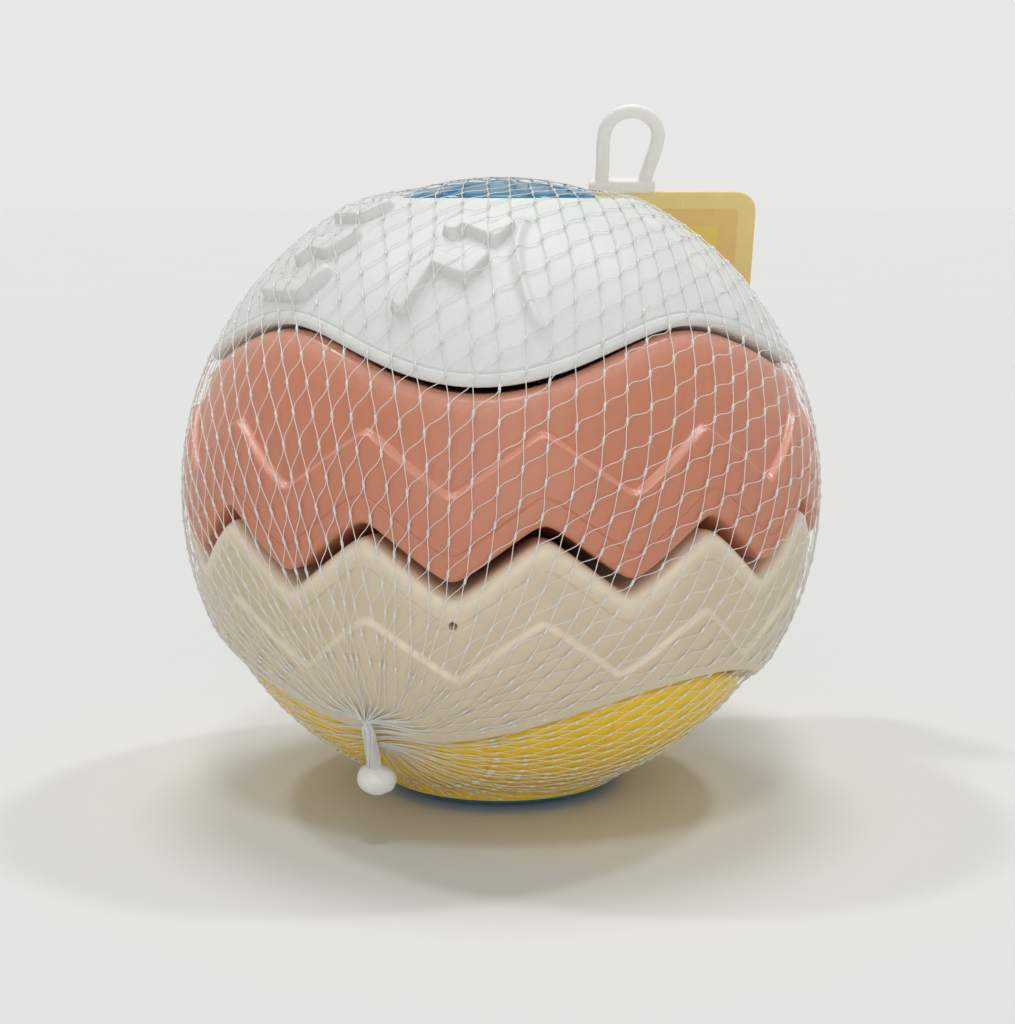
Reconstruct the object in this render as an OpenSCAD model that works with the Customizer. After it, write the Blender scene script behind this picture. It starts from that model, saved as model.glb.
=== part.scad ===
// Layered sensory ball: a domed post carries a bowl, two rings and a cap that lift off one by one.
// The stack stands in a knotted net with a melted seal, a gathered tail, a header card and a hang loop.
// Frame: origin on the floor at the centre of the foot, +Z up, the photographed front towards -Y.
// Levels are heights above the centre of the ball, and azimuths run from the front towards +X.

/* [Ball] */
// Diameter of the whole ball
ball_d = 130; // [115:1:150]
// Diameter of the flat foot that the ball stands on
foot_d = 36; // [28:1:40]

/* [Core post] */
// Diameter of the post that the layers slide over
post_d = 41; // [34:0.5:44]
// Width of the flange under the bowl, beyond the post
flange_w = 3.5; // [2:0.5:5]
// Height of the flange's seat above the floor
seat_h = 6; // [5:0.5:10]
// Height of the flange's upright side, above the round of the foot
flange_side = 3; // [2:0.5:3.5]
// Depth of the dome's crown below the pole of the ball
crown_drop = 2; // [1:0.25:4]
// Radius of curvature of the dome
dome_r = 62; // [50:1:80]
// Radius of the soft edge round the dome
dome_edge = 2.5; // [1.5:0.25:4]
// Number of radial creases in the dome
crease_count = 8; // [4:1:12]
// Azimuth of the first crease
crease_turn = 10; // [-20:1:20]
// Distance of the creases from the crown
crease_in = 5; // [4:0.5:8]
// Distance of the creases from the side of the post
crease_out = 4; // [4:0.5:6]
// Width of a crease
crease_w = 1.2; // [0.6:0.1:2]
// Depth of a crease
crease_depth = 0.8; // [0.4:0.1:1.5]

/* [Layers] */
// Radial clearance between the post and the bores
bore_gap = 0.5; // [0.3:0.1:1]
// Width of the flat hub round each bore, where the layers seat on each other
hub_w = 7; // [4:0.5:9]
// Clearance between the faces of two layers outside their hubs
seat_gap = 0.4; // [0.2:0.1:0.8]
// Radius of the cap's lip along the wave
lip_edge = 1; // [0.5:0.1:2]
// Radius of the upper ring's soft shoulder along the wave
shoulder_edge = 3.2; // [2:0.1:4]
// Radius of the soft edges along the zigzag
tooth_edge = 2.2; // [1:0.1:3]
// Radius of the soft edges along the sill over the bowl
sill_edge = 1.5; // [1:0.1:2.5]
// Depth of the cap's flat rim below the pole of the ball
rim_drop = 5.7; // [4.5:0.1:8]
// Radius of the soft edge round the flat rim
rim_edge = 2; // [1:0.25:3]

/* [Wave seam] */
// Mean level of the seam between the cap and the upper ring
wave_level = 30.3; // [27:0.1:33]
// Half height of the waves
wave_rise = 4.9; // [2:0.1:5.5]
// Number of waves round the ball
wave_count = 4; // [2:1:6]
// Azimuth of a trough of the waves
wave_turn = -4; // [-45:1:45]
// Open gap of the wave seam at the skin
wave_gap = 1.6; // [1:0.1:2.5]
// Level of the flat hub inside the wave seam
wave_hub = 24; // [20:0.5:27]

/* [Zigzag seam] */
// Mean level of the seam between the two rings
tooth_level = -4.4; // [-8:0.1:0]
// Half height of the teeth
tooth_rise = 5; // [2:0.1:6]
// Number of teeth round the ball
tooth_count = 12; // [8:1:16]
// Azimuth of an upward tooth of the lower ring
tooth_turn = 7; // [-15:1:15]
// Sharpness of the teeth, from 0 for a sine to 1 for sharp corners
tooth_corner = 0.93; // [0.5:0.01:0.98]
// Open gap of the zigzag seam at the skin
tooth_gap = 2.6; // [1:0.1:3.5]
// Level of the flat hub inside the zigzag seam
tooth_hub = -5; // [-9:0.5:0]

/* [Sill seam] */
// Mean latitude of the seam between the lower ring and the bowl
sill_lat = -33; // [-36:0.1:-32]
// Half height of its waves
sill_rise = 5.7; // [3:0.1:7]
// Number of its waves round the ball
sill_count = 3; // [2:1:4]
// Azimuth of a trough of its waves
sill_turn = -18; // [-45:1:45]
// Open gap of the sill seam at the skin
sill_gap = 1.2; // [0.8:0.1:2]
// Depth of the flat hub inside the sill seam, below the seam's mean level
sill_drop = 5; // [3:0.1:6]

/* [Raised bands] */
// Mean level of the zigzag step on the upper ring
upper_step_level = 13; // [11:0.1:14]
// Depth of the step on the upper ring
upper_step = 1.6; // [0.5:0.1:2]
// Mean latitude of the zigzag step on the lower ring
lower_step_lat = -19.3; // [-21:0.1:-17]
// Depth of the step on the lower ring
lower_step = 0.8; // [0.3:0.1:1.5]
// Half height of the zigzag of both steps
step_rise = 5.4; // [3:0.1:6]
// Width of the sloping face of a step
step_w = 1.6; // [1:0.1:4]

/* [Cap relief] */
// Times that the ridges and the oval panel go round the cap
relief_groups = 2; // [1:1:2]
// Height of a ridge above the skin
ridge_rise = 2.4; // [1:0.1:3]
// Half width of a ridge at its foot
ridge_half = 2.8; // [1.5:0.1:3.5]
// Azimuths of the left ends of the ridges' bars
ridge_az = [-17, -13, -62, -58, -64]; // [-66:1:-10]
// Latitudes of the left ends of the ridges' bars
ridge_lat = [47, 57, 41, 51, 59]; // [40:1:60]
// Lengths of the ridges' feet, below the left ends of the bars
ridge_foot = [9.5, 3, 0, 3, 0]; // [0:0.5:10]
// Lengths of the ridges' bars
ridge_bar = [8.5, 9, 12.5, 7, 8.5]; // [6:0.5:14]
// Slopes of the ridges' bars
ridge_slope = [-6, -15, 3, 3, 6]; // [-20:1:20]
// Lengths of the ridges' tips, above the right ends of the bars
ridge_tip = [4.5, 4, 4, 3, 2.5]; // [2:0.5:6]
// Slope of the feet
foot_slope = 74; // [60:1:85]
// Slope of the tips
tip_slope = 62; // [50:1:85]
// Azimuth of the middle of the oval panel
oval_az = 31.5; // [28:0.5:34]
// Latitude of the middle of the oval panel
oval_lat = 38; // [36:0.5:40]
// Half width of the oval panel along the skin
oval_w = 22.9; // [20:0.1:24]
// Half height of the oval panel along the skin
oval_h = 28.9; // [24:0.1:29]
// Height of the bead along the panel's sides
oval_rise = 0.8; // [0.4:0.1:1.5]
// Half width of the bead
oval_half = 1.7; // [1:0.1:2.5]

/* [Base bowl] */
// Depth of the bowl's skin behind the skin of the rings
bowl_inset = 1.8; // [0.5:0.1:3]
// Number of grooves from the bowl's edge to the foot
groove_count = 12; // [6:1:15]
// Azimuth of the first groove
groove_turn = -4; // [-15:1:15]
// Width of a groove at its widest
groove_w = 1.4; // [0.8:0.1:2]
// Depth of a groove
groove_depth = 0.8; // [0.4:0.1:1.5]

/* [Vent] */
// Diameter of the vent hole in the lower ring
vent_d = 2; // [1:0.1:4]
// Level of the vent hole
vent_level = -16.4; // [-18:0.1:-15]
// Depth of the vent hole
vent_depth = 5; // [2:0.5:8]

/* [Net] */
// Strands of the net round the ball
net_columns = 24; // [12:12:24]
// Meshes up the bowl, lower ring, upper ring and cap
net_rows = [2, 3, 3, 3]; // [1:1:4]
// Thickness of a strand
net_t = 0.5; // [0.3:0.1:1]
// Share of each mesh that its strands cover, corner to centre
net_share = 0.09; // [0.06:0.01:0.3]
// Clearance between the net and what it lies on
net_clear = 0.3; // [0.2:0.05:0.6]
// Distance of each part of the net from the seams
net_hem = 1.5; // [1:0.1:3]
// Latitude where the net ends under the bowl
net_low = -60; // [-64:1:-56]
// Latitude where the net ends below the rim
net_high = 61; // [58:1:63]

/* [Seal and tail] */
// Azimuth of the gathered end with the seal
seal_az = -31; // [-45:1:0]
// Azimuth that the seal's neck hangs towards
seal_turn = 12; // [-45:1:15]
// Slope of the seal's neck below the horizontal
seal_droop = 54; // [45:1:70]
// Radius of the neck at the ball
neck_r = 2.4; // [1.5:0.1:3]
// Radius of the neck at its waist
waist_r = 1.7; // [1:0.1:2.2]
// Length of the neck
neck_l = 5; // [4:0.5:10]
// Radius of the melted bead
bead_r = 3.7; // [3:0.1:5]
// Radius of the bead's round side
bead_edge = 2.6; // [2:0.1:3]
// Latitude of the gathered tail behind the ball
tail_lat = 42; // [38:1:46]
// Radius of the gathered tail at the ball
tail_in = 2; // [1:0.1:3]
// Radius of the gathered tail at the card
tail_out = 4; // [3:0.1:5]

/* [Header card] */
// Width of the card
card_w = 58; // [50:1:70]
// Height of the card
card_h = 52; // [40:1:60]
// Thickness of the folded card
card_t = 0.8; // [0.6:0.1:1.5]
// Radius of the card's corners
card_corner = 5; // [1:0.5:6]
// Lean of the card from the vertical
card_lean = 25; // [20:1:30]
// Offset of the card's middle to the right
card_x = 29; // [20:1:35]
// Depth of the card's top edge below the pole of the ball
card_drop = 4.5; // [3:0.5:10]

/* [Hang loop] */
// Outer width of the loop
loop_w = 15; // [12:0.5:20]
// Height of the loop above the card
loop_h = 21; // [16:0.5:26]
// Thickness of the loop's rod
loop_rod = 3; // [2:0.1:4]
// Offset of the loop to the left of the card's middle
loop_x = 1.7; // [0:0.1:5]
// Lean of the loop to the right
loop_turn = 8; // [0:1:12]

/* [Hidden] */
$fn = 96;
ball_r = ball_d / 2;
centre_h = sqrt(ball_r * ball_r - foot_d * foot_d / 4);
post_r = post_d / 2;
bore_r = post_r + bore_gap;
hub_r = bore_r + hub_w;
flange_r = post_r + flange_w;
flange_gap = bore_gap;
rim_level = ball_r - rim_drop;
crown_level = ball_r - crown_drop;
bowl_r = ball_r - bowl_inset;
sill_level = ball_r * sin(sill_lat);
sill_hub = sill_level - sill_drop;
lower_step_level = ball_r * sin(lower_step_lat);
card_top = ball_r - card_drop;
// Extra reach of a cutting shape past the faces that it cuts
past = 1;
// Sections of a layer on each tooth, an even number, and all round
tooth_steps = 8;
sections = tooth_steps * tooth_count;
// Steps of a soft edge, of a face between hub and edge, and of the skin of the cap and the bowl
edge_steps = 3;
face_steps = 3;
skin_steps = 5;
// Sections of the cap on each wave, and steps of the bowl between two grooves
wave_steps = 12;
groove_steps = 3;
// Steps of the bead along a side of the oval panel, and the angles on the oval where it starts and ends
oval_steps = 6;
oval_from = -2;
oval_to = 56;
// Outlines across a ridge and a bead, in shares of the half width and of the rise
ridge_outline = [[-1, -0.4], [-0.8, 0.55], [-0.4, 1], [0.4, 1], [0.8, 0.55], [1, -0.4]];
oval_outline = [[-1, -0.8], [-0.4, 1], [0.4, 1], [1, -0.8]];
// Share of its size that a ridge or bead has at its ends, and reach of a ridge's round ends in half widths
end_size = 0.5;
end_reach = 0.7;
// Share of a step's depth that its sloping face has lost halfway down
step_mid = 0.3;

// Point of a section at a latitude and a distance from the ball's centre
function polar(lat, rad) = [rad * cos(lat), centre_h + rad * sin(lat)];
// Latitude of a level at a distance from the ball's centre
function lat_of(level, rad) = asin(level / rad);
// Latitude of a level on the ball's skin
function lat_at(level) = lat_of(level, ball_r);
// Angle in degrees under which an arc of the skin is seen from the centre
function arc(length) = length / ball_r * 180 / PI;
// Point in space of a section's point at an azimuth
function placed(p, az) = [p[0] * sin(az), -p[0] * cos(az), p[1]];
function mix(a, b, share) = a + (b - a) * share;

// Seams round the ball: two sine waves, and a zigzag with soft corners between them
function wave(az) = wave_level - wave_rise * cos(wave_count * (az - wave_turn));
function sill(az) = sill_level - sill_rise * cos(sill_count * (az - sill_turn));
function zigzag(az) = asin(tooth_corner * cos(tooth_count * (az - tooth_turn))) / asin(tooth_corner);
function teeth(az) = tooth_level + tooth_rise * zigzag(az);
// Latitudes of the layers' edges, where each turns in under its soft edge
function cap_edge(az) = lat_of(wave(az) + wave_gap / 2, ball_r - lip_edge);
function upper_ring_top(az) = lat_of(wave(az) - wave_gap / 2, ball_r - upper_step - shoulder_edge);
function upper_ring_low(az) = lat_of(teeth(az) + tooth_gap / 2, ball_r - tooth_edge);
function lower_ring_top(az) = lat_of(teeth(az) - tooth_gap / 2, ball_r - lower_step - tooth_edge);
function lower_ring_low(az) = lat_of(sill(az), ball_r - sill_edge);
function bowl_top(az, rad) = lat_of(sill(az) - sill_gap, rad - sill_edge);
function step_lat(level, az) = lat_at(level + step_rise * zigzag(az));

// Quarter-round edges, from the inside to the skin and from the skin to the inside
function edge_point(lat, rad, side, edge, t) =
    polar(lat + side * arc(edge) * (1 - cos(t)), rad - edge * (1 - sin(t)));
function low_edge(lat, rad, edge) =
    [for (k = [0:edge_steps]) edge_point(lat, rad, 1, edge, 90 * k / edge_steps)];
function high_edge(lat, rad, edge) =
    [for (k = [edge_steps:-1:0]) edge_point(lat, rad, -1, edge, 90 * k / edge_steps)];

// Face between the flat hub and the edge, level at both ends
function face_point(edge, hub, q) = [mix(hub_r, edge[0], q), mix(hub, edge[1], q * q * (3 - 2 * q))];
function face_out(edge, hub) = [for (k = [0:face_steps - 1]) face_point(edge, hub, k / face_steps)];
// Face that follows the face of the layer over it from below, with a gap that widens towards the skin
function face_under(over, hub, gap) =
    [for (k = [face_steps - 1:-1:0])
        face_point(over, hub, k / face_steps) - [0, mix(seat_gap, gap, k / face_steps)]];

// Skin that steps back by depth above the latitude at
function stepped_skin(low, at, high, depth) =
    let (half = arc(step_w) / 2)
    [polar((low + at - half) / 2, ball_r),
     polar(at - half, ball_r),
     polar(at, ball_r - depth * step_mid),
     polar(at + half, ball_r - depth),
     polar((at + half + high) / 2, ball_r - depth)];

// Section of a ring between the latitudes lats, with soft edges of radii rounds and hubs at the levels hubs,
// which steps back by depth above the latitude at and lies under the edge over of the next layer
function ring_section(lats, rounds, hubs, at, depth, over, gap) =
    let (low_pts = low_edge(lats[0], ball_r, rounds[0]),
         high_pts = high_edge(lats[1], ball_r - depth, rounds[1]),
         low_h = centre_h + hubs[0],
         high_h = centre_h + hubs[1])
    concat([[bore_r - past, low_h]],
           face_out(low_pts[0], low_h),
           low_pts,
           stepped_skin(lats[0] + arc(rounds[0]), at, lats[1] - arc(rounds[1]), depth),
           high_pts,
           face_under(over, high_h, gap),
           [[hub_r, high_h], [bore_r - past, high_h]]);

// Section of the cap, which ends above in a flat rim with soft edges
function cap_section(low) =
    let (low_pts = low_edge(low, ball_r, lip_edge),
         low_end = low + arc(lip_edge),
         turn_lat = asin((rim_level - rim_edge) / (ball_r - rim_edge)),
         turn = polar(turn_lat, ball_r - rim_edge))
    concat([[bore_r - past, centre_h + wave_hub]],
           face_out(low_pts[0], centre_h + wave_hub),
           low_pts,
           [for (k = [1:skin_steps - 1]) polar(mix(low_end, turn_lat, k / skin_steps), ball_r)],
           [for (k = [0:edge_steps])
               let (t = mix(turn_lat, 90, k / edge_steps))
               turn + rim_edge * [cos(t), sin(t)]],
           [[bore_r - past, centre_h + rim_level]]);

// Section of the bowl with its skin at rad, under the edge of the lower ring
function bowl_section(az, rad) =
    let (opening = flange_r + flange_gap,
         high_pts = high_edge(bowl_top(az, rad), rad, sill_edge),
         low_end = -acos(opening / rad),
         high_end = bowl_top(az, rad) - arc(sill_edge),
         over = polar(lower_ring_low(az), ball_r - sill_edge),
         high_h = centre_h + sill_hub)
    concat([[bore_r - past, seat_h], [opening, seat_h]],
           [for (k = [0:skin_steps - 1]) polar(mix(low_end, high_end, k / skin_steps), rad)],
           high_pts,
           face_under(over, high_h, sill_gap),
           [[hub_r, high_h], [bore_r - past, high_h]]);

// Closed solid through a list of sections round the axis
module loft(rows, azimuths) {
    n = len(rows);
    m = len(rows[0]);
    points = [for (i = [0:n - 1]) for (p = rows[i]) placed(p, azimuths[i])];
    faces = [for (i = [0:n - 1]) for (j = [0:m - 1])
        let (a = i * m + j,
             b = i * m + (j + 1) % m,
             c = (i + 1) % n * m + (j + 1) % m,
             d = (i + 1) % n * m + j)
        each [[a, b, c], [a, c, d]]];
    polyhedron(points, faces);
}

// Azimuths of the rings' sections, one of them on the tip of a tooth, and of the cap's, one in a trough
azimuths = [for (i = [0:sections - 1]) tooth_turn + i * 360 / sections];
cap_sections = wave_steps * wave_count;
cap_azimuths = [for (i = [0:cap_sections - 1]) wave_turn + i * 360 / cap_sections];

// Turns of the bowl's sections from a groove to the next, with the groove's middle at 0
groove_half = arc(groove_w) / 2;
groove_pitch = 360 / groove_count;
bowl_turns = concat([-groove_half, 0],
                    [for (k = [0:groove_steps - 1])
                        mix(groove_half, groove_pitch - groove_half, k / groove_steps)]);

// Point over the skin, x to the right and y up along the skin from the azimuth and latitude at
function on_skin(at, p, lift) =
    let (lat = at[1] + arc(p[1]))
    placed(polar(lat, ball_r + lift), at[0] + arc(p[0]) / cos(lat));
function heading(slope) = [cos(slope), sin(slope)];
function left_of(d) = [-d[1], d[0]];
function unit(v) = v / norm(v);

// Ring of a swept form: its outline set across the path at p, along side
function swept_ring(at, p, side, outline, half, rise) =
    [for (q = outline) on_skin(at, p + side * q[0] * half, q[1] * rise)];

// Closed solid through the rings of a swept form
module sweep(rings) {
    n = len(rings);
    m = len(rings[0]);
    points = [for (ring = rings) each ring];
    last = (n - 1) * m;
    faces = concat(
        [for (i = [0:n - 2]) for (j = [0:m - 1])
            let (a = i * m + j,
                 b = i * m + (j + 1) % m)
            each [[a, b, b + m], [a, b + m, a + m]]],
        [for (j = [1:m - 2]) [0, j + 1, j]],
        [for (j = [1:m - 2]) [last, last + j, last + j + 1]]);
    polyhedron(points, faces);
}

// Ridge k of the cap: a bar with a foot below its left end, where it has one, and a tip above its right end
module ridge(k) {
    at = [ridge_az[k], ridge_lat[k]];
    foot = -ridge_foot[k] * heading(foot_slope);
    bar = ridge_bar[k] * heading(ridge_slope[k]);
    tip = bar + ridge_tip[k] * heading(tip_slope);
    path = concat(ridge_foot[k] > 0 ? [foot] : [], [[0, 0], bar, tip]);
    n = len(path);
    ways = [for (i = [0:n - 2]) unit(path[i + 1] - path[i])];
    first = path[0] - ways[0] * end_reach * ridge_half;
    last = path[n - 1] + ways[n - 2] * end_reach * ridge_half;
    function ring(p, side, size) =
        swept_ring(at, p, side, ridge_outline, size * ridge_half, size * ridge_rise);
    sweep(concat(
        [ring(first, left_of(ways[0]), end_size)],
        [for (i = [0:n - 1])
            let (before = left_of(ways[max(i - 1, 0)]),
                 after = left_of(ways[min(i, n - 2)]),
                 side = unit(before + after))
            ring(path[i], side / (side * after), 1)],
        [ring(last, left_of(ways[n - 2]), end_size)]));
}

// Bead along one side of the oval panel, left with -1 and right with 1
module oval_side(way) {
    at = [oval_az, oval_lat];
    sweep([for (k = [0:oval_steps])
        let (t = mix(oval_from, oval_to, k / oval_steps),
             p = [way * oval_w * cos(t), oval_h * sin(t)],
             side = unit([-oval_h * cos(t), -way * oval_w * sin(t)]),
             size = k == 0 || k == oval_steps ? end_size : 1)
        swept_ring(at, p, side, oval_outline, size * oval_half, size * oval_rise)]);
}

// Bore of a layer between two levels
module bore(low, high) {
    translate([0, 0, centre_h + low - past])
        cylinder(r = bore_r, h = high - low + 2 * past);
}

// Radial grooves in the dome, between the crown and the soft edge
module creases(dome_h) {
    low = acos((post_r - crease_out) / dome_r);
    high = acos(crease_in / dome_r);
    for (k = [0:crease_count - 1])
        translate([0, 0, dome_h])
            rotate([90, 0, crease_turn + k * 360 / crease_count])
                rotate([0, 0, low])
                    rotate_extrude(angle = high - low)
                        translate([dome_r - crease_depth, -crease_w / 2])
                            square([crease_depth + past, crease_w]);
}

// Post with a domed end, on a round foot whose flange carries the stack
module core_post() {
    dome_h = centre_h + crown_level - dome_r;
    color("steelblue")
        difference() {
            rotate_extrude()
                difference() {
                    union() {
                        square([post_r, centre_h + crown_level]);
                        square([flange_r, seat_h]);
                    }
                    difference() {
                        translate([0, centre_h])
                            square([ball_r, ball_r]);
                        translate([0, dome_h])
                            circle(r = dome_r);
                    }
                    dome_corner(dome_h);
                    difference() {
                        translate([0, -past])
                            square([ball_r, seat_h + past]);
                        translate([0, centre_h])
                            circle(r = ball_r);
                        translate([0, seat_h - flange_side])
                            square([flange_r, flange_side]);
                    }
                }
            creases(dome_h);
        }
}

// Cutter of the corner between the dome and the side of the post, leaving a round of radius dome_edge
module dome_corner(dome_h) {
    turn_r = post_r - dome_edge;
    turn_h = dome_h + sqrt(pow(dome_r - dome_edge, 2) - turn_r * turn_r);
    out = [turn_r, turn_h - dome_h] / (dome_r - dome_edge);
    reach = 3 * dome_edge;
    difference() {
        polygon([[turn_r, turn_h], [turn_r + reach, turn_h], [turn_r + reach, turn_h + reach],
                 [turn_r, turn_h] + reach * out]);
        translate([turn_r, turn_h])
            circle(r = dome_edge);
    }
}

// Bowl under the rings, with a waved edge and grooves from there to the foot
module base_bowl() {
    turns = [for (k = [0:groove_count - 1], t = bowl_turns) [groove_turn + k * groove_pitch, t]];
    color("gold")
        difference() {
            loft([for (q = turns) bowl_section(q[0] + q[1], q[1] == 0 ? bowl_r - groove_depth : bowl_r)],
                 [for (q = turns) q[0] + q[1]]);
            bore(seat_h - centre_h, sill_hub);
        }
}

// Ring with a toothed upper edge, a waved lower edge, a zigzag step and a vent hole
module lower_ring() {
    vent_az = tooth_turn - 180 / tooth_count;
    color("tan")
        difference() {
            loft([for (az = azimuths)
                     ring_section([lower_ring_low(az), lower_ring_top(az)], [sill_edge, tooth_edge],
                                  [sill_hub, tooth_hub], step_lat(lower_step_level, az), lower_step,
                                  polar(upper_ring_low(az), ball_r - tooth_edge), tooth_gap)], azimuths);
            bore(sill_hub, tooth_hub);
            translate(placed(polar(lat_at(vent_level), ball_r + past), vent_az))
                rotate([90 - lat_at(vent_level), 0, vent_az])
                    rotate([180, 0, 0])
                        translate([0, 0, -past])
                            cylinder(d = vent_d, h = vent_depth + 2 * past);
        }
}

// Ring with a toothed lower edge, a waved upper edge and a deep zigzag step
module upper_ring() {
    color("rosybrown")
        difference() {
            loft([for (az = azimuths)
                     ring_section([upper_ring_low(az), upper_ring_top(az)], [tooth_edge, shoulder_edge],
                                  [tooth_hub, wave_hub], step_lat(upper_step_level, az), upper_step,
                                  polar(cap_edge(az), ball_r - lip_edge), wave_gap)], azimuths);
            bore(tooth_hub, wave_hub);
        }
}

// Cap with a waved lower edge, raised ridges, beaded panels and a flat rim round the domed end of the post
module top_cap() {
    color("whitesmoke")
        difference() {
            union() {
                loft([for (az = cap_azimuths) cap_section(cap_edge(az))], cap_azimuths);
                for (g = [0:relief_groups - 1])
                    rotate([0, 0, g * 360 / relief_groups]) {
                        for (k = [0:len(ridge_az) - 1])
                            ridge(k);
                        for (way = [-1, 1])
                            oval_side(way);
                    }
            }
            bore(wave_hub, rim_level);
        }
}

// Height of the net over the skin, so that its straight strands clear the skin between knots
net_lift = ball_r * (1 - cos(180 / net_columns)) + net_clear;

// Knots lean back by one column over the height of a part, and follow the seams at its hems
function knot(i, j, rows, rad, low, high) =
    let (az = tooth_turn + (i - j / rows) * 360 / net_columns)
    placed(polar(mix(low(az), high(az), j / rows), rad), az);

// One part of the net: strands round open meshes, as a closed sheet of even thickness
module net_part(rows, skin_r, low, high) {
    n = net_columns;
    knots = (rows + 1) * n;
    inner = [for (j = [0:rows]) for (i = [0:n - 1]) knot(i, j, rows, skin_r + net_lift, low, high)];
    outer = [for (j = [0:rows]) for (i = [0:n - 1]) knot(i, j, rows, skin_r + net_lift + net_t, low, high)];
    meshes = [for (j = [0:rows - 1]) for (i = [0:n - 1])
        [j * n + i, (j + 1) * n + i, (j + 1) * n + (i + 1) % n, j * n + (i + 1) % n]];
    function holes(knots_of) = [for (c = meshes)
        let (middle = (knots_of[c[0]] + knots_of[c[1]] + knots_of[c[2]] + knots_of[c[3]]) / 4)
        for (k = c) mix(knots_of[k], middle, net_share)];
    points = concat(outer, inner, holes(outer), holes(inner));
    hole_out = 2 * knots;
    hole_in = hole_out + 4 * len(meshes);
    faces = concat(
        [for (q = [0:len(meshes) - 1]) for (k = [0:3])
            let (c = meshes[q],
                 a = c[k],
                 b = c[(k + 1) % 4],
                 ha = hole_out + 4 * q + k,
                 hb = hole_out + 4 * q + (k + 1) % 4,
                 ia = hole_in + 4 * q + k,
                 ib = hole_in + 4 * q + (k + 1) % 4)
            each [[a, b, hb], [a, hb, ha],
                  [knots + b, knots + a, ib], [knots + a, ia, ib],
                  [ha, hb, ib], [ha, ib, ia]]],
        [for (i = [0:n - 1])
            let (a = i,
                 b = (i + 1) % n,
                 c = rows * n + i,
                 d = rows * n + (i + 1) % n)
            each [[b, knots + a, a], [b, knots + b, knots + a],
                  [c, knots + c, d], [knots + c, knots + d, d]]]);
    polyhedron(points, faces);
}

// Latitude of the upper hem of the bowl's net, where the net is gathered in front
function hem_lat(az) = bowl_top(az, bowl_r) - arc(net_hem);

module net_base() {
    color("white")
        net_part(net_rows[0], bowl_r, function (az) net_low, function (az) hem_lat(az));
}

module net_lower() {
    color("white")
        net_part(net_rows[1], ball_r, function (az) lower_ring_low(az) + arc(net_hem),
                 function (az) lower_ring_top(az) - arc(net_hem));
}

module net_upper() {
    color("white")
        net_part(net_rows[2], ball_r, function (az) upper_ring_low(az) + arc(net_hem),
                 function (az) upper_ring_top(az) - arc(net_hem));
}

module net_top() {
    color("white")
        net_part(net_rows[3], ball_r + ridge_rise, function (az) cap_edge(az) + arc(net_hem),
                 function (az) net_high);
}

// Melted bead on the neck of gathered strands, hanging from the hem in front of the bowl
module net_seal() {
    start = placed(polar(hem_lat(seal_az), bowl_r + net_lift + net_t + 3 * net_clear), seal_az);
    bead_h = neck_l + bead_edge;
    color("ivory")
        translate(start)
            rotate([90 + seal_droop, 0, seal_turn])
                rotate_extrude()
                    union() {
                        polygon([[0, 0], [neck_r, 0], [waist_r, neck_l / 2],
                                 [waist_r, bead_h], [0, bead_h]]);
                        translate([0, bead_h - bead_edge])
                            square([bead_r - bead_edge, 2 * bead_edge]);
                        intersection() {
                            translate([bead_r - bead_edge, bead_h])
                                circle(r = bead_edge);
                            translate([0, bead_h - bead_edge])
                                square([bead_r, 2 * bead_edge]);
                        }
                    }
}

// Distance of the card's inner face from the centre of the ball
card_off = ball_r + ridge_rise + net_lift + net_t + net_clear;

// Frame of the card: y up along the card, z away from the ball
module card_frame() {
    up = (card_top - card_off * sin(card_lean)) / cos(card_lean);
    translate([card_x, 0, centre_h])
        rotate([90 - card_lean, 0, 180])
            translate([0, up, card_off])
                children();
}

// Folded card that leans on the back of the ball
module header_card() {
    half = card_w / 2 - card_corner;
    color("khaki")
        card_frame()
            linear_extrude(card_t)
                union() {
                    translate([-card_w / 2, card_corner - card_h])
                        square([card_w, card_h - 2 * card_corner]);
                    translate([-half, -card_h])
                        square([2 * half, card_h]);
                    for (x = [-half, half], y = [-card_corner, card_corner - card_h])
                        translate([x, y])
                            circle(r = card_corner);
                }
}

// Loop of plastic rod that stands on the card's top edge
module hang_loop() {
    bend_r = (loop_w - loop_rod) / 2;
    leg = loop_h - loop_w / 2 - loop_rod / 2;
    color("snow")
        card_frame()
            translate([loop_x, 0, card_t / 2]) {
                translate([0, loop_rod / 2, 0])
                    rotate([0, 0, loop_turn]) {
                        translate([0, leg, 0])
                            rotate_extrude(angle = 180)
                                translate([bend_r, 0])
                                    circle(d = loop_rod);
                        for (x = [-bend_r, bend_r])
                            translate([x, 0, 0])
                                rotate([-90, 0, 0])
                                    cylinder(d = loop_rod, h = leg);
                    }
                translate([-loop_w / 2, 0, -loop_rod / 2])
                    cube([loop_w, loop_rod, loop_rod]);
            }
}

// Gathered strands between the back of the ball and the card
module net_tail() {
    tail_az = seal_az + 180;
    normal = [0, cos(card_lean), sin(card_lean)];
    tilt = acos(normal * placed([cos(tail_lat), sin(tail_lat)], tail_az));
    base = placed(polar(tail_lat, ball_r + ridge_rise + net_lift + net_t + tail_in * sin(tilt)), tail_az);
    reach = card_off - normal * (base - [0, 0, centre_h]);
    color("white")
        translate(base)
            rotate([-(90 - card_lean), 0, 0])
                translate([0, 0, net_clear])
                    cylinder(r1 = tail_in, r2 = tail_out, h = reach - net_clear);
}

core_post();
base_bowl();
lower_ring();
upper_ring();
top_cap();
net_base();
net_lower();
net_upper();
net_top();
net_seal();
net_tail();
header_card();
hang_loop();
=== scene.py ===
import math

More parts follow.
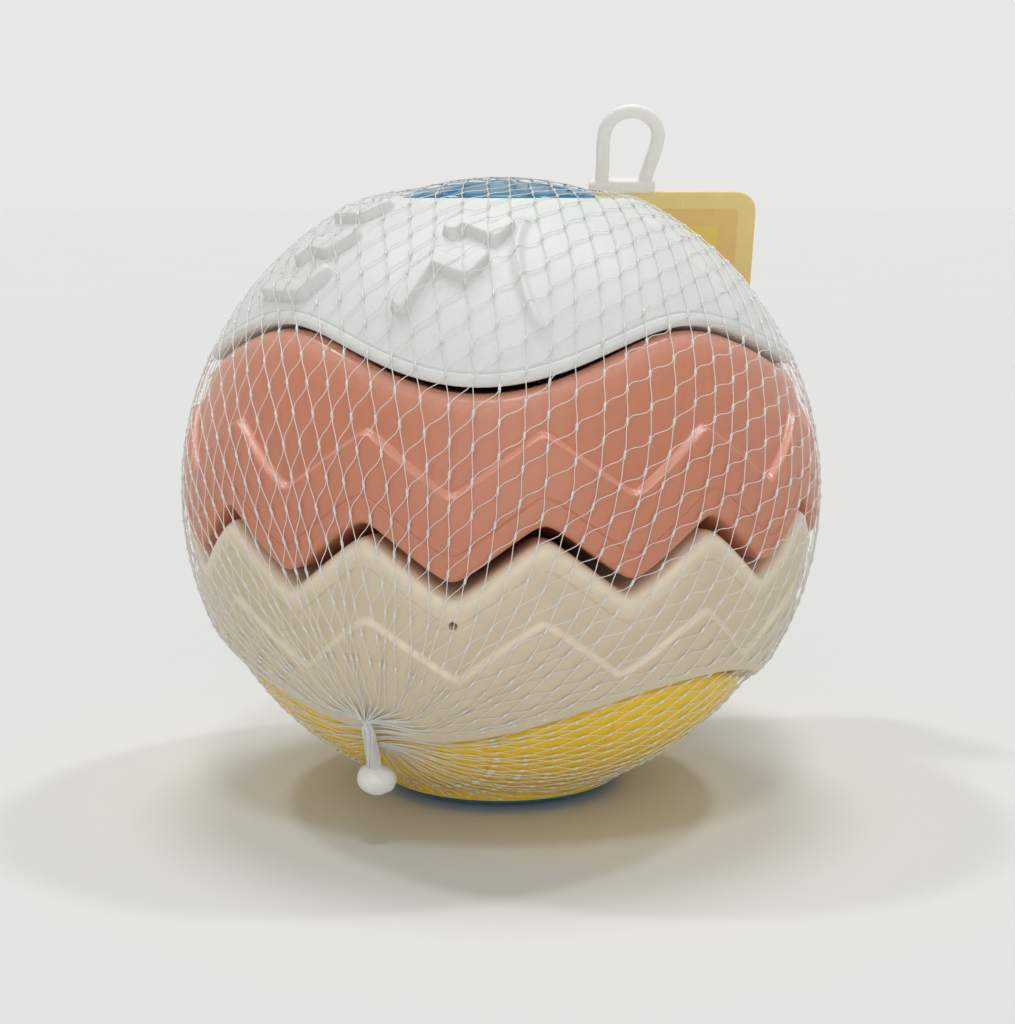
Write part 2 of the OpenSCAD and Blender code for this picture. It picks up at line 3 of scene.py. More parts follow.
import bpy
import numpy as np
from bpy.props import FloatProperty, FloatVectorProperty, IntProperty, PointerProperty
from bpy.types import Operator, Panel, PropertyGroup
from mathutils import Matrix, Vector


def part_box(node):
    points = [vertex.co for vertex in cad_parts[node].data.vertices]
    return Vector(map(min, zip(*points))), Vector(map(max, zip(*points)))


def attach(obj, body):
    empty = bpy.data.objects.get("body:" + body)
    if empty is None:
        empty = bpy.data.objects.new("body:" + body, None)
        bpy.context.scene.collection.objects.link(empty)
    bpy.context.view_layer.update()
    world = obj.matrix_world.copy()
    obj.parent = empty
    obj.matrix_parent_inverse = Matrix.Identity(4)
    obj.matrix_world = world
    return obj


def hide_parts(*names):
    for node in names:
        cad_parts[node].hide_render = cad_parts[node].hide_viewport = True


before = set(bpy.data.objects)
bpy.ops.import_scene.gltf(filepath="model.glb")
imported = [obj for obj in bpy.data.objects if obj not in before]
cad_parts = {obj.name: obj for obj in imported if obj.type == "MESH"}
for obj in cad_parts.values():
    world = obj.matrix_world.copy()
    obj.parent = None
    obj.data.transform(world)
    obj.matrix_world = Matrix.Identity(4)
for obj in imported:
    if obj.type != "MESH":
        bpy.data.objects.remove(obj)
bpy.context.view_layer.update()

bl_info = {
    "name": "Stacking Sensory Ball",
    "version": (1, 0, 0),
    "blender": (4, 5, 0),
    "location": "3D View > Sidebar > Sensory Ball",
    "description": "Dresses the packed stacking ball, its knotted net, its card and its hang loop",
    "category": "Object",
}

MM = 0.001
CROWN_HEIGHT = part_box("core_post")[1].z


# Values that a user would change

def length(name, text, millimetres):
    """Property for a length, typed in millimetres and kept in metres."""
    return FloatProperty(name=name, description=text, default=millimetres * MM, unit="LENGTH", precision=4)


def angle(name, text, degrees):
    """Property for an angle, typed in degrees and kept in radians."""
    return FloatProperty(name=name, description=text, default=math.radians(degrees), subtype="ANGLE")


def count(name, text, number):
    """Property for a number of like things."""
    return IntProperty(name=name, description=text, default=number, min=1)


def share(name, text, value):
    """Property for a share between 0 and 1."""
    return FloatProperty(name=name, description=text, default=value, min=0, max=1, subtype="FACTOR")


def colour(name, text, red, green, blue):
    """Property for a colour, typed as 8-bit sRGB and kept linear."""
    coded = np.array([red, green, blue]) / 255
    linear = np.where(coded <= 0.04045, coded / 12.92, ((coded + 0.055) / 1.055) ** 2.4)
    return FloatVectorProperty(name=name, description=text, default=linear.tolist(), subtype="COLOR",
                               min=0, max=1)


def strength(name, text, value):
    """Property for the strength of a light."""
    return FloatProperty(name=name, description=text, default=value, min=0)


class BallSizes(PropertyGroup):
    """Sizes that all the layers share, with levels as heights over the centre of the ball."""
    radius: length("Ball radius", "Radius of the skin of the layers", 65)
    crown_drop: length("Crown drop", "Depth of the dome's crown below the pole", 2)
    rim_drop: length("Rim drop", "Depth of the cap's flat rim below the pole", 5.7)
    post_radius: length("Post radius", "Radius of the core post", 20.5)
    bore_gap: length("Bore gap", "Clearance between the post and the bores", 0.5)
    hub_width: length("Hub width", "Width of the flat hub round each bore", 7)
    seat_gap: length("Seat gap", "Clearance between the faces of two layers outside their hubs", 0.4)
    lip_edge: length("Lip edge", "Radius of the cap's lip along the wave", 1)
    shoulder_edge: length("Shoulder edge", "Radius of the upper ring's shoulder along the wave", 3.2)
    tooth_edge: length("Tooth edge", "Radius of the soft edges along the zigzag", 2.2)
    sill_edge: length("Sill edge", "Radius of the soft edges along the sill", 1.5)
    rim_edge: length("Rim edge", "Radius of the soft edge round the flat rim", 2)
    wave_level: length("Wave level", "Mean level of the waved seam under the cap", 30.3)
    wave_rise: length("Wave rise", "Half height of its waves", 4.9)
    wave_count: count("Waves", "Waves round the ball", 4)
    wave_turn: angle("Wave turn", "Azimuth of a trough of the waves", -4)
    wave_gap: length("Wave gap", "Open gap of the waved seam", 1.6)
    wave_hub: length("Wave hub", "Level of the hub inside the waved seam", 24)
    tooth_level: length("Tooth level", "Mean level of the zigzag seam", -4.4)
    tooth_rise: length("Tooth rise", "Half height of the teeth", 5)
    tooth_count: count("Teeth", "Teeth round the ball", 12)
    tooth_turn: angle("Tooth turn", "Azimuth of an upward tooth", 7)
    tooth_corner: share("Tooth corner", "Sharpness of the teeth, from a sine to sharp corners", 0.93)
    tooth_gap: length("Tooth gap", "Open gap of the zigzag seam", 2.6)
    tooth_hub: length("Tooth hub", "Level of the hub inside the zigzag seam", -5)
    sill_latitude: angle("Sill latitude", "Mean latitude of the seam over the bowl", -33)
    sill_rise: length("Sill rise", "Half height of the sill's waves", 5.7)
    sill_count: count("Sill waves", "Waves of the sill round the ball", 3)
    sill_turn: angle("Sill turn", "Azimuth of a trough of the sill", -18)
    sill_gap: length("Sill gap", "Open gap of the sill seam", 1.2)
    sill_drop: length("Sill drop", "Depth of the hub below the sill's mean level", 5)
    upper_step_level: length("Upper step level", "Mean level of the step on the upper ring", 13)
    upper_step: length("Upper step", "Depth of the step on the upper ring", 1.6)
    lower_step_latitude: angle("Lower step latitude", "Mean latitude of the step on the lower ring", -19.3)
    lower_step: length("Lower step", "Depth of the step on the lower ring", 0.8)
    step_rise: length("Step rise", "Half height of the zigzag of both steps", 5.4)
    step_corner: share("Step corner", "Sharpness of the zigzag of both steps", 0.985)
    step_width: length("Step width", "Width of the sloping face of a step", 1.9)
    parting_up: length("Upper parting", "Distance of the parting line from the upper ring's teeth", 5.2)
    parting_down: length("Lower parting", "Distance of the parting line from the lower ring's teeth", 5.4)
    parting_lip: length("Lip", "Distance of the cap's parting line from its waved edge", 2.3)
    parting_width: length("Parting width", "Half width of a parting line", 0.22)
    parting_depth: length("Parting depth", "Depth of a parting line", 0.22)
    vent_radius: length("Vent radius", "Radius of the vent hole in the lower ring", 0.7)
    vent_depth: length("Vent depth", "Depth of the vent hole", 5)
    bowl_inset: length("Bowl inset", "Depth of the bowl's skin behind the rings", 1.8)
    skirt_height: length("Skirt height", "Height of the bowl's lower rim over the floor", 2.7)
    groove_count: count("Grooves", "Upright grooves round the bowl", 12)
    groove_turn: angle("Groove turn", "Azimuth of a groove of the bowl", -4)
    groove_width: length("Groove width", "Half width of a groove", 0.6)
    groove_depth: length("Groove depth", "Depth of a groove", 0.8)


class CoreSizes(PropertyGroup):
    """Sizes of the core post."""
    dome_radius: length("Dome radius", "Radius of curvature of the dome", 62)
    dome_edge: length("Dome edge", "Radius of the soft edge round the dome", 2.5)
    crease_count: count("Creases", "Radial creases in the dome", 8)
    crease_turn: angle("Crease turn", "Azimuth of a crease", 10)
    crease_width: length("Crease width", "Half width of a crease", 0.9)
    crease_depth: length("Crease depth", "Depth of a crease", 0.8)
    flange_width: length("Flange width", "Width of the flange beyond the post", 3.5)
    flange_side: length("Flange side", "Height of the flange's upright side", 3)
    seat_height: length("Seat height", "Height of the flange's seat over the floor", 6)
    foot_radius: length("Foot radius", "Radius of the flat foot", 18)


class ReliefSizes(PropertyGroup):
    """Sizes of the raised forms on the cap."""
    groups: count("Groups", "Times that the ridges and the oval panel go round the cap", 2)
    ridge_rise: length("Ridge rise", "Height of a ridge over the skin", 1.9)
    ridge_half: length("Ridge half width", "Half width of a ridge at its foot", 2.1)
    ridge_slope: length("Ridge slope", "Width of a ridge's sloping side", 0.8)
    foot_slope: angle("Foot slope", "Slope of the ridges' feet", 74)
    tip_slope: angle("Tip slope", "Slope of the ridges' tips", 62)
    oval_azimuth: angle("Oval azimuth", "Azimuth of the middle of the oval panel", 31.5)
    oval_latitude: angle("Oval latitude", "Latitude of the middle of the oval panel", 38)
    oval_width: length("Oval width", "Half width of the oval panel along the skin", 22.9)
    oval_height: length("Oval height", "Half height of the oval panel along the skin", 28.9)
    oval_rise: length("Oval rise", "Height of the bead along the panel's sides", 1)
    oval_half: length("Oval half width", "Half width of the bead", 1.1)
    oval_from: angle("Oval from", "Angle on the oval where the bead starts", -15)
    oval_to: angle("Oval to", "Angle on the oval where the bead ends", 56)


class NetSizes(PropertyGroup):
    """Sizes of the knotted net, its seal and its tail."""
    seal_azimuth: angle("Seal azimuth", "Azimuth of the net's gathered end", -28)
    seal_latitude: angle("Seal latitude", "Latitude of the net's gathered end", -41)
    thick_strands: count("Thick strands", "Strands of the steep family", 77)
    thin_strands: count("Thin strands", "Strands of the crossing family", 77)
    twist: share("Twist", "Turn of a strand for each radian from end to end", 0.47)
    thick_radius: length("Thick radius", "Radius of a steep strand", 0.1)
    thin_radius: length("Thin radius", "Radius of a crossing strand", 0.085)
    knot_radius: length("Knot radius", "Radius of a knot", 0.29)
    knot_length: length("Knot length", "Length of a knot", 1.5)
    clearance: length("Net clearance", "Distance of the strands' middle from the skin", 0.45)
    thick_sway: length("Thick sway", "Sideways swing of the steep strands between knots", 0.1)
    thin_sway: length("Thin sway", "Sideways swing of the crossing strands between knots", 0.45)
    tufts: count("Tufts", "Tufts that the strands draw together into near the seal", 23)
    tuft_reach: angle("Tuft reach", "Angle from the seal over which the tufts open out", 30)
    gather_azimuth: angle("Gather azimuth", "Azimuth where the neck starts", -27)
    gather_latitude: angle("Gather latitude", "Latitude where the neck starts", -35.5)
    neck_radius: length("Neck radius", "Radius of the neck of gathered strands", 1.4)
    neck_length: length("Neck length", "Length of the neck", 9.5)
    neck_droop: angle("Neck droop", "Slope of the neck below the horizontal", 75)
    neck_turn: angle("Neck turn", "Azimuth that the neck leans towards", 156)
    bead_width: length("Seal width", "Half width of the melted bead", 3.7)
    bead_height: length("Seal height", "Half height of the melted bead", 2.75)
    tail_radius: length("Tail radius", "Radius of the gathered tail at the card", 3.6)


class CardSizes(PropertyGroup):
    """Sizes of the header card and the hang loop."""
    width: length("Card width", "Width of the card", 58)
    height: length("Card height", "Height of the card", 52)
    thickness: length("Card thickness", "Thickness of the folded card", 0.8)
    corner: length("Card corner", "Radius of the card's corners", 5)
    lean: angle("Card lean", "Lean of the card from the vertical", 25)
    offset: length("Card offset", "Offset of the card's middle to the right", 29)
    top: length("Card top", "Level of the card's top edge", 60.5)
    stand_off: length("Card stand-off", "Distance of the card's face from the ball's centre", 69.06)
    loop_width: length("Loop width", "Outer width of the hang loop", 15)
    loop_height: length("Loop height", "Height of the hang loop over the card", 21)
    loop_rod: length("Loop rod", "Thickness of the loop's rod", 3)
    loop_offset: length("Loop offset", "Offset of the loop to the left of the card's middle", 1.7)
    loop_lean: angle("Loop lean", "Lean of the loop to the right", 8)


class Finishes(PropertyGroup):
    """Colours of the pieces."""
    blue: colour("Blue", "Core post", 20, 118, 156)
    yellow: colour("Yellow", "Base bowl", 252, 211, 34)
    beige: colour("Beige", "Lower ring", 220, 205, 178)
    pink: colour("Pink", "Upper ring", 208, 135, 106)
    white: colour("White", "Top cap", 226, 229, 224)
    net: colour("Net", "Strands and knots", 255, 254, 250)
    seal: colour("Seal", "Melted bead", 246, 245, 238)
    card: colour("Card", "Middle of the card", 254, 226, 112)
    card_line: colour("Card line", "Line inside the card's border", 250, 214, 136)
    card_border: colour("Card border", "Border of the card", 254, 232, 154)
    loop: colour("Loop", "Hang loop", 254, 252, 246)
    floor: colour("Floor", "Floor and backdrop", 231, 232, 229)


class StageSizes(PropertyGroup):
    """Camera and light."""
    camera_distance: length("Camera distance", "Distance of the camera in front of the post", 414.64)
    camera_height: length("Camera height", "Height of the camera over the floor", 122.14)
    camera_pitch: angle("Camera pitch", "Slope of the camera's view below the horizontal", 8.893)
    camera_yaw: angle("Camera yaw", "Turn of the camera's view to the right", 0.18)
    camera_lens: length("Camera lens", "Focal length for a sensor 36 mm wide", 71.63)
    sky: strength("Sky", "Strength of the even light from all round", 0.3)
    back: strength("Back", "Strength of each lamp behind the ball", 0.42)
    top: strength("Top", "Strength of the wide lamp over the ball", 0.85)
    front: strength("Front", "Strength of the lamp high in front", 0.42)
    fill: strength("Fill", "Strength of the soft lamp low in front", 0.78)


# Curves and surfaces, as whole arrays

FACE_STEPS = 10
EDGE_STEPS = 9


def ramp(t):
    """Smooth rise from 0 to 1 as t goes from 0 to 1: t squared times 3 less 2t, level outside."""
    t = np.clip(t, 0, 1)
    return t * t * (3 - 2 * t)


def bell(distance, half_width):
    """Bell curve of a distance: 1 at none, and next to nothing two half widths out."""
    return np.exp(-(distance / half_width) ** 2)


def unit(vectors):
    """Vectors brought to a length of 1."""
    return vectors / np.linalg.norm(vectors, axis=-1, keepdims=True)


def round_turns(number):
    """Even turns round a circle, from 0."""
    return np.arange(number) * 2 * math.pi / number


def folded(az, start, number):
    """Signed angle from the nearest of a number of even places round the ball, one of them at start."""
    period = 2 * math.pi / number
    return (az - start + period / 2) % period - period / 2


def direction(lat, az):
    """Direction from the ball's centre: azimuth runs from the front, -Y, towards +X."""
    return np.array([math.cos(lat) * math.sin(az), -math.cos(lat) * math.cos(az), math.sin(lat)])


def place_of(out):
    """Azimuth and latitude of directions from the ball's centre."""
    return np.arctan2(out[..., 0], -out[..., 1]), np.arcsin(np.clip(out[..., 2], -1, 1))


def centre_height(ball):
    """Height of the ball's centre over the floor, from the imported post's crown."""
    return CROWN_HEIGHT + ball.crown_drop - ball.radius


def bore_radius(ball):
    """Radius of the bore of every layer."""
    return ball.post_radius + ball.bore_gap


def hub_radius(ball):
    """Radius of the flat hub round every bore."""
    return bore_radius(ball) + ball.hub_width


def polar(ball, lat, rad):
    """Section points, as distance from the axis and height, at latitudes and distances from the centre."""
    lat, rad = np.broadcast_arrays(lat, rad)
    return np.stack([rad * np.cos(lat), centre_height(ball) + rad * np.sin(lat)], -1)


def lat_at(ball, level):
    """Latitude on the skin of a level: the arcsine of the level over the radius."""
    return np.arcsin(level / ball.radius)


def wave_seam(ball, az):
    """Level of the waved seam: the mean level less a cosine of the azimuth."""
    return ball.wave_level - ball.wave_rise * np.cos(ball.wave_count * (az - ball.wave_turn))


def sill_mean(ball):
    """Mean level of the seam over the bowl."""
    return ball.radius * math.sin(ball.sill_latitude)


def sill_hub(ball):
    """Level of the hub inside the sill."""
    return sill_mean(ball) - ball.sill_drop


def sill_seam(ball, az):
    """Level of the seam over the bowl: its mean level less a cosine of the azimuth."""
    return sill_mean(ball) - ball.sill_rise * np.cos(ball.sill_count * (az - ball.sill_turn))


def zigzag(ball, az, corner):
    """Zigzag of unit height with soft corners: the arcsine of a damped cosine of the azimuth."""
    return np.arcsin(corner * np.cos(ball.tooth_count * (az - ball.tooth_turn))) / np.arcsin(corner)


def tooth_seam(ball, az):
    """Level of the toothed seam: the mean level plus the zigzag."""
    return ball.tooth_level + ball.tooth_rise * zigzag(ball, az, ball.tooth_corner)


def step_latitude(ball, az, level):
    """Latitude of a ring's zigzag step about a mean level."""
    return lat_at(ball, level + ball.step_rise * zigzag(ball, az, ball.step_corner))


def edge_latitude(ball, level, inside):
    """Latitude of an edge that turns in at a level, at a depth inside the skin."""
    return np.arcsin(level / (ball.radius - inside))


def cap_low(ball, az):
    """Latitude of the cap's waved lip."""
    return edge_latitude(ball, wave_seam(ball, az) + ball.wave_gap / 2, ball.lip_edge)


def upper_high(ball, az):
    """Latitude of the upper ring's waved shoulder."""
    return edge_latitude(ball, wave_seam(ball, az) - ball.wave_gap / 2, ball.upper_step + ball.shoulder_edge)


def upper_low(ball, az):
    """Latitude of the upper ring's teeth."""
    return edge_latitude(ball, tooth_seam(ball, az) + ball.tooth_gap / 2, ball.tooth_edge)


def lower_high(ball, az):
    """Latitude of the lower ring's teeth."""
    return edge_latitude(ball, tooth_seam(ball, az) - ball.tooth_gap / 2, ball.lower_step + ball.tooth_edge)


def lower_low(ball, az):
    """Latitude of the lower ring's waved edge over the bowl."""
    return edge_latitude(ball, sill_seam(ball, az), ball.sill_edge)


def bowl_high(ball, az):
    """Latitude of the bowl's waved edge."""
    return edge_latitude(ball, sill_seam(ball, az) - ball.sill_gap, ball.bowl_inset + ball.sill_edge)


def parting_groove(ball, distance):
    """Depth of a parting line at a distance from it: a bell curve."""
    return ball.parting_depth * bell(distance, ball.parting_width)


def rows_between(breaks, counts):
    """Latitudes of a skin's rows: even steps between breaks, which hold one latitude per azimuth."""
    spans = [low[:, None] + (high - low)[:, None] * np.arange(steps) / steps
             for low, high, steps in zip(breaks, breaks[1:], counts)]
    return np.concatenate([*spans, breaks[-1][:, None]], axis=1)


def soft_edge(ball, lat, rad, side, edge, steps=EDGE_STEPS):
    """Quarter round from the inside to the skin: side is 1 for a lower edge and -1 for an upper one."""
    t = np.linspace(0, math.pi / 2, steps)[None, :]
    round_lat = lat[:, None] + side * edge / ball.radius * (1 - np.cos(t))
    return polar(ball, round_lat, rad - edge * (1 - np.sin(t)))


def roof_height(ball, edge, hub_level, radius):
    """Height of a layer's lower face: a smooth rise from the flat hub to the edge, level at both."""
    start, hub = hub_radius(ball), centre_height(ball) + hub_level
    return hub + (edge[:, 1:] - hub) * ramp((radius - start) / (edge[:, :1] - start))


def face_radii(ball, edge):
    """Radii of a face in even steps from the hub towards an edge, and the share of the way of each."""
    start, q = hub_radius(ball), np.arange(FACE_STEPS)[None, :] / FACE_STEPS
    return start + (edge[:, :1] - start) * q, q


def seat_face(ball, edge, hub_level):
    """Lower face of a layer, from the flat hub to its edge."""
    radius, _ = face_radii(ball, edge)
    return np.stack([radius, roof_height(ball, edge, hub_level, radius)], -1)


def under_face(ball, edge, over, hub_level):
    """Upper face of a layer from its edge to the hub, under the next layer's lower face with the edge over.
    The gap between them goes evenly from the seat gap at the hub to what is left at the edge."""
    radius, q = face_radii(ball, edge)
    left = roof_height(ball, over, hub_level, edge[:, :1]) - edge[:, 1:]
    gap = ball.seat_gap + (left - ball.seat_gap) * q
    return np.stack([radius, roof_height(ball, over, hub_level, radius) - gap], -1)[:, ::-1]


def all_round(az, section):
    """The same section once for each azimuth."""
    return np.broadcast_to(section, (len(az), *np.shape(section)))


def hub_corners(ball, az, level):
    """Outer and inner corner of the flat hub at a level, once for each azimuth."""
    height = centre_height(ball) + level
    return all_round(az, [[hub_radius(ball), height], [bore_radius(ball), height]])


def turned(az, section):
    """Surface through sections round the axis: azimuth runs from the front, -Y, towards +X."""
    radius, height = section[..., 0], section[..., 1]
    return np.stack([radius * np.sin(az)[:, None], -radius * np.cos(az)[:, None], height], -1)


def grid_quads(rows, columns, closed_columns=True):
    """Quads of a grid of points whose rows close on each other, numbered row by row."""
    i = np.arange(rows)[:, None]
    j = np.arange(columns if closed_columns else columns - 1)[None, :]
    above, beside = (i + 1) % rows, (j + 1) % columns
    corners = [i * columns + j, above * columns + j, above * columns + beside, i * columns + beside]
    return np.stack(np.broadcast_arrays(*corners), -1).reshape(-1, 4)


def capped(surface, ends):
    """Points and quads of a surface whose rows close on each other. Its first and its last column are drawn
    together on two end points, two steps at a time."""
    rows, columns = surface.shape[:2]
    first = rows * columns
    i = np.arange(0, rows, 2)
    after, last = (i + 1) % rows, (i + 2) % rows
    low = np.stack([last * columns, after * columns, i * columns, np.full(len(i), first)], -1)
    high = np.stack([i * columns, after * columns, last * columns, np.full(len(i), first + 1)], -1)
    high[:, :3] += columns - 1
    points = np.concatenate([surface.reshape(-1, 3), ends])
    return points, np.concatenate([grid_quads(rows, columns, False), low, high])


def piece(name, points, quads, finish, body, nodes, slot, crease=50):
    """Object of one mesh from corner points and quads, which rides on a body and stands for CAD nodes."""
    mesh = bpy.data.meshes.new(name)
    mesh.vertices.add(len(points))
    mesh.vertices.foreach_set("co", np.ascontiguousarray(points, np.float32).ravel())
    mesh.loops.add(quads.size)
    mesh.loops.foreach_set("vertex_index", np.ascontiguousarray(quads, np.int32).ravel())
    mesh.polygons.add(len(quads))
    mesh.polygons.foreach_set("loop_start", np.arange(0, quads.size, 4, dtype=np.int32))
    mesh.update(calc_edges=True)
    mesh.validate()
    mesh.shade_smooth()
    mesh.set_sharp_from_angle(angle=math.radians(crease))
    mesh.materials.append(finish)
    made = bpy.data.objects.new(name, mesh)
    bpy.context.scene.collection.objects.link(made)
    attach(made, body)
    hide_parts(*nodes)
    return made


def note_values(made, name, values):
    """Keeps one number for each point of a piece, for its material to read."""
    attribute = made.data.attributes.new(name, "FLOAT", "POINT")
    attribute.data.foreach_set("value", np.ascontiguousarray(values, np.float32).ravel())


# Relief of the cap

# Ridges of the cap: azimuth and latitude of the bar's left end in degrees, lengths of the foot, the bar
# and the tip in millimetres, and the slope of the bar in degrees
RIDGES = [
    (-17, 47.5, 11, 8, 3.5, -23),
    (-12.5, 57, 2.5, 8.5, 3, -30),
    (-62, 40, 0, 12, 4.5, 1),
    (-58, 50, 3, 7, 4, -6),
    (-64, 58.5, 0, 8.5, 3, 3),
]
# Roundness of a ridge's sides, and the angle on the oval over which a bead fades out
RIDGE_POWER = 1.7
BEAD_FADE = 0.15


def on_skin(ball, relief, az, lat, start_az, start_lat):
    """Distances along the skin to the right of a place and up from it, in one group of the relief."""
    side = folded(az, start_az, relief.groups)
    return side * np.cos(lat) * ball.radius, (lat - start_lat) * ball.radius


def heading(slope, reach):
    """Step of a length along the skin at a slope."""
    return reach * np.array([math.cos(slope), math.sin(slope)])


def ridge_distance(ball, relief, az, lat, ridge):
    """Distance along the skin from a ridge: the least of those from its foot, bar and tip."""
    start_az, start_lat, foot, bar, tip, slope = ridge
    x, y = on_skin(ball, relief, az, lat, math.radians(start_az), math.radians(start_lat))
    bar_end = heading(math.radians(slope), bar * MM)
    tip_end = bar_end + heading(relief.tip_slope, tip * MM)
    path = [-heading(relief.foot_slope, foot * MM), np.zeros(2), bar_end, tip_end]
    nearest = np.full(x.shape, np.inf)
    for start, end in zip(path, path[1:]):
        along = end - start
        t = ((x - start[0]) * along[0] + (y - start[1]) * along[1]) / max(along @ along, 1e-12)
        t = np.clip(t, 0, 1)
        nearest = np.minimum(nearest, np.hypot(x - start[0] - t * along[0], y - start[1] - t * along[1]))
    return nearest


def cap_relief(ball, relief, az, lat, skirt=0.0):
    """Height of the ridges and the oval's beads over the cap's skin. A ridge has a flat top and steep sides:
    1 less a power of what is left to the top. A bead is a bell across the oval. A skirt widens the ridges."""
    height = np.zeros(np.broadcast(az, lat).shape)
    for ridge in RIDGES:
        away = ridge_distance(ball, relief, az, lat, ridge)
        x = np.clip((relief.ridge_half + skirt - away) / (relief.ridge_slope + skirt), 0, 1)
        height = np.maximum(height, relief.ridge_rise * (1 - (1 - x) ** RIDGE_POWER))
    x, y = on_skin(ball, relief, az, lat, relief.oval_azimuth, relief.oval_latitude)
    u, v = np.abs(x) / relief.oval_width, y / relief.oval_height
    out = np.hypot(u, v) + 1e-9
    away = (out - 1) * out / np.hypot(u / relief.oval_width, v / relief.oval_height)
    turn = np.arctan2(v, u)
    fade = ramp((turn - relief.oval_from) / BEAD_FADE) * ramp((relief.oval_to - turn) / BEAD_FADE)
    return np.maximum(height, relief.oval_rise * fade * bell(away, relief.oval_half))


# Layers

# Columns round the core post and the layers
CORE_COLUMNS, BOWL_COLUMNS, LOWER_COLUMNS, UPPER_COLUMNS, CAP_COLUMNS = 384, 720, 480, 576, 240
# Rows of a ring's skin: on its plain parts, across its step and across its parting line
PLAIN_ROWS, STEP_ROWS, PARTING_ROWS = 12, 14, 22
# Rows of the bowl's skin, the dome and the foot, and of the cap's lip and rim
BOWL_ROWS, DOME_ROWS, FOOT_ROWS, LIP_ROWS, RIM_ROWS = 40, 48, 10, 6, 8
# Fine columns over the vent hole, and where its wall starts and how wide it is, all in radii of the hole
VENT_COLUMNS = np.linspace(-1.6, 1.6, 33)
VENT_WALL_FROM, VENT_WALL = 0.8, 0.4
# Distance over which the painted highlight fades away from an edge, how strongly the cap's rim gets painted
# highlight with lower roughness, and how much lighter and less rough the bowl's grooves are painted
HIGHLIGHT_REACH, RIM_HIGHLIGHT, GROOVE_LIGHTENING = 2 * MM, 0.3, 0.2
# Angle over which relief and grooves fade out at the end of a skin
RELIEF_FADE = 0.05
# Ranges of azimuth, in degrees, with fine columns for the ridges, and the width of such a column
RIDGE_FIELDS, RIDGE_COLUMN = ((-69, -36), (-25, 11)), 0.36
# Rows of the cap's skin: under the parting line, across it, up to the ridges and over them
CAP_ROWS = [2, 14, 10, 88]
RIDGES_FROM = math.radians(37)
# Thickness of the bowl's skirt round the flange
SKIRT_WALL = 0.7 * MM
# Creases of the dome: where they are deep, how far past the edge they end and over what they fade, and the
# swelling between them
CREASE_FROM, CREASE_END, CREASE_FADE, DOME_SWELL = 7 * MM, 1.5 * MM, 3 * MM, 0.5 * MM


def step_shape(t):
    """Share of a step's depth across its sloping face: straight, with both ends eased by a sine."""
    t = np.clip(t, 0, 1)
    return t - np.sin(2 * math.pi * t) / (4 * math.pi)


def joined(az, parts):
    """Surface through the parts of a section one after the other, and the share of painted highlight, with
    lower roughness, at each of its points.
    """
    section = np.concatenate([points for points, _ in parts], axis=1)
    worn = np.concatenate([np.broadcast_to(wear, points.shape[:2]) for points, wear in parts], axis=1)
    return turned(az, section), worn


def ring_surface(ball, az, lats, edges, hubs, step, step_depth, parting, over, dent=None):
    """Closed surface of a ring: hub, lower face, lower edge, stepped skin, upper edge, upper face and hub.
    The skin's depth is a smooth step above the latitude step, plus the parting line and a dent."""
    low_end, high_end = lats[0] + edges[0] / ball.radius, lats[1] - edges[1] / ball.radius
    half, fine = ball.step_width / ball.radius / 2, 5 * ball.parting_width / ball.radius
    breaks, counts = [low_end], []
    features = [(step, half, STEP_ROWS), (parting, fine, PARTING_ROWS)]
    for middle, reach, steps in sorted(features, key=lambda row: row[0].mean()):
        breaks += [middle - reach, middle + reach]
        counts += [PLAIN_ROWS, steps]
    lat = rows_between(breaks + [high_end], counts + [PLAIN_ROWS])
    ledge = np.clip((lat - step[:, None] + half) / (2 * half), 0, 1)
    back = step_depth * step_shape(ledge) + parting_groove(ball, (lat - parting[:, None]) * ball.radius)
    if dent is not None:
        back = back + dent(az[:, None], lat)
    low_round = soft_edge(ball, lats[0], ball.radius, 1, edges[0])
    high_round = soft_edge(ball, lats[1], ball.radius - step_depth, -1, edges[1])[:, ::-1]
    # Painted highlight, with lower roughness: the step's sloping face and the band towards the upper edge are
    # painted lighter and less saturated, and the upper edge's shoulder fully, standing in for the light they
    # catch; the lower edge gets a tenth of it
    worn = np.sin(math.pi * ledge) + np.exp((lat - high_end[:, None]) * ball.radius / HIGHLIGHT_REACH)
    return joined(az, [
        (hub_corners(ball, az, hubs[0])[:, 1:], 0), (seat_face(ball, low_round[:, 0], hubs[0]), 0),
        (low_round[:, :-1], 0.1), (polar(ball, lat, ball.radius - back), worn), (high_round[:, 1:], 1),
        (under_face(ball, high_round[:, -1], over, hubs[1]), 0), (hub_corners(ball, az, hubs[1]), 0)])


def even_azimuths(columns, extra=()):
    """Azimuths round the ball in even steps, with any extra ones put in their places, and each only once."""
    every = np.concatenate([round_turns(columns), np.asarray(extra) % (2 * math.pi)])
    return np.unique(np.round(every, 6))


def add_layer(node, body, slot, shape, base, **look):
    """Piece of a closed layer in moulded plastic, with the painted highlight of its edges and ledges noted
    for its material.
    """
    surface, worn = shape
    quads = grid_quads(*surface.shape[:2])
    finish = moulded_plastic(slot, base, **look)
    made = piece(node + "_skin", surface.reshape(-1, 3), quads, finish, body, [node], slot)
    # Each point's share of painted highlight, with lower roughness, for the material to read
    note_values(made, "worn", worn)


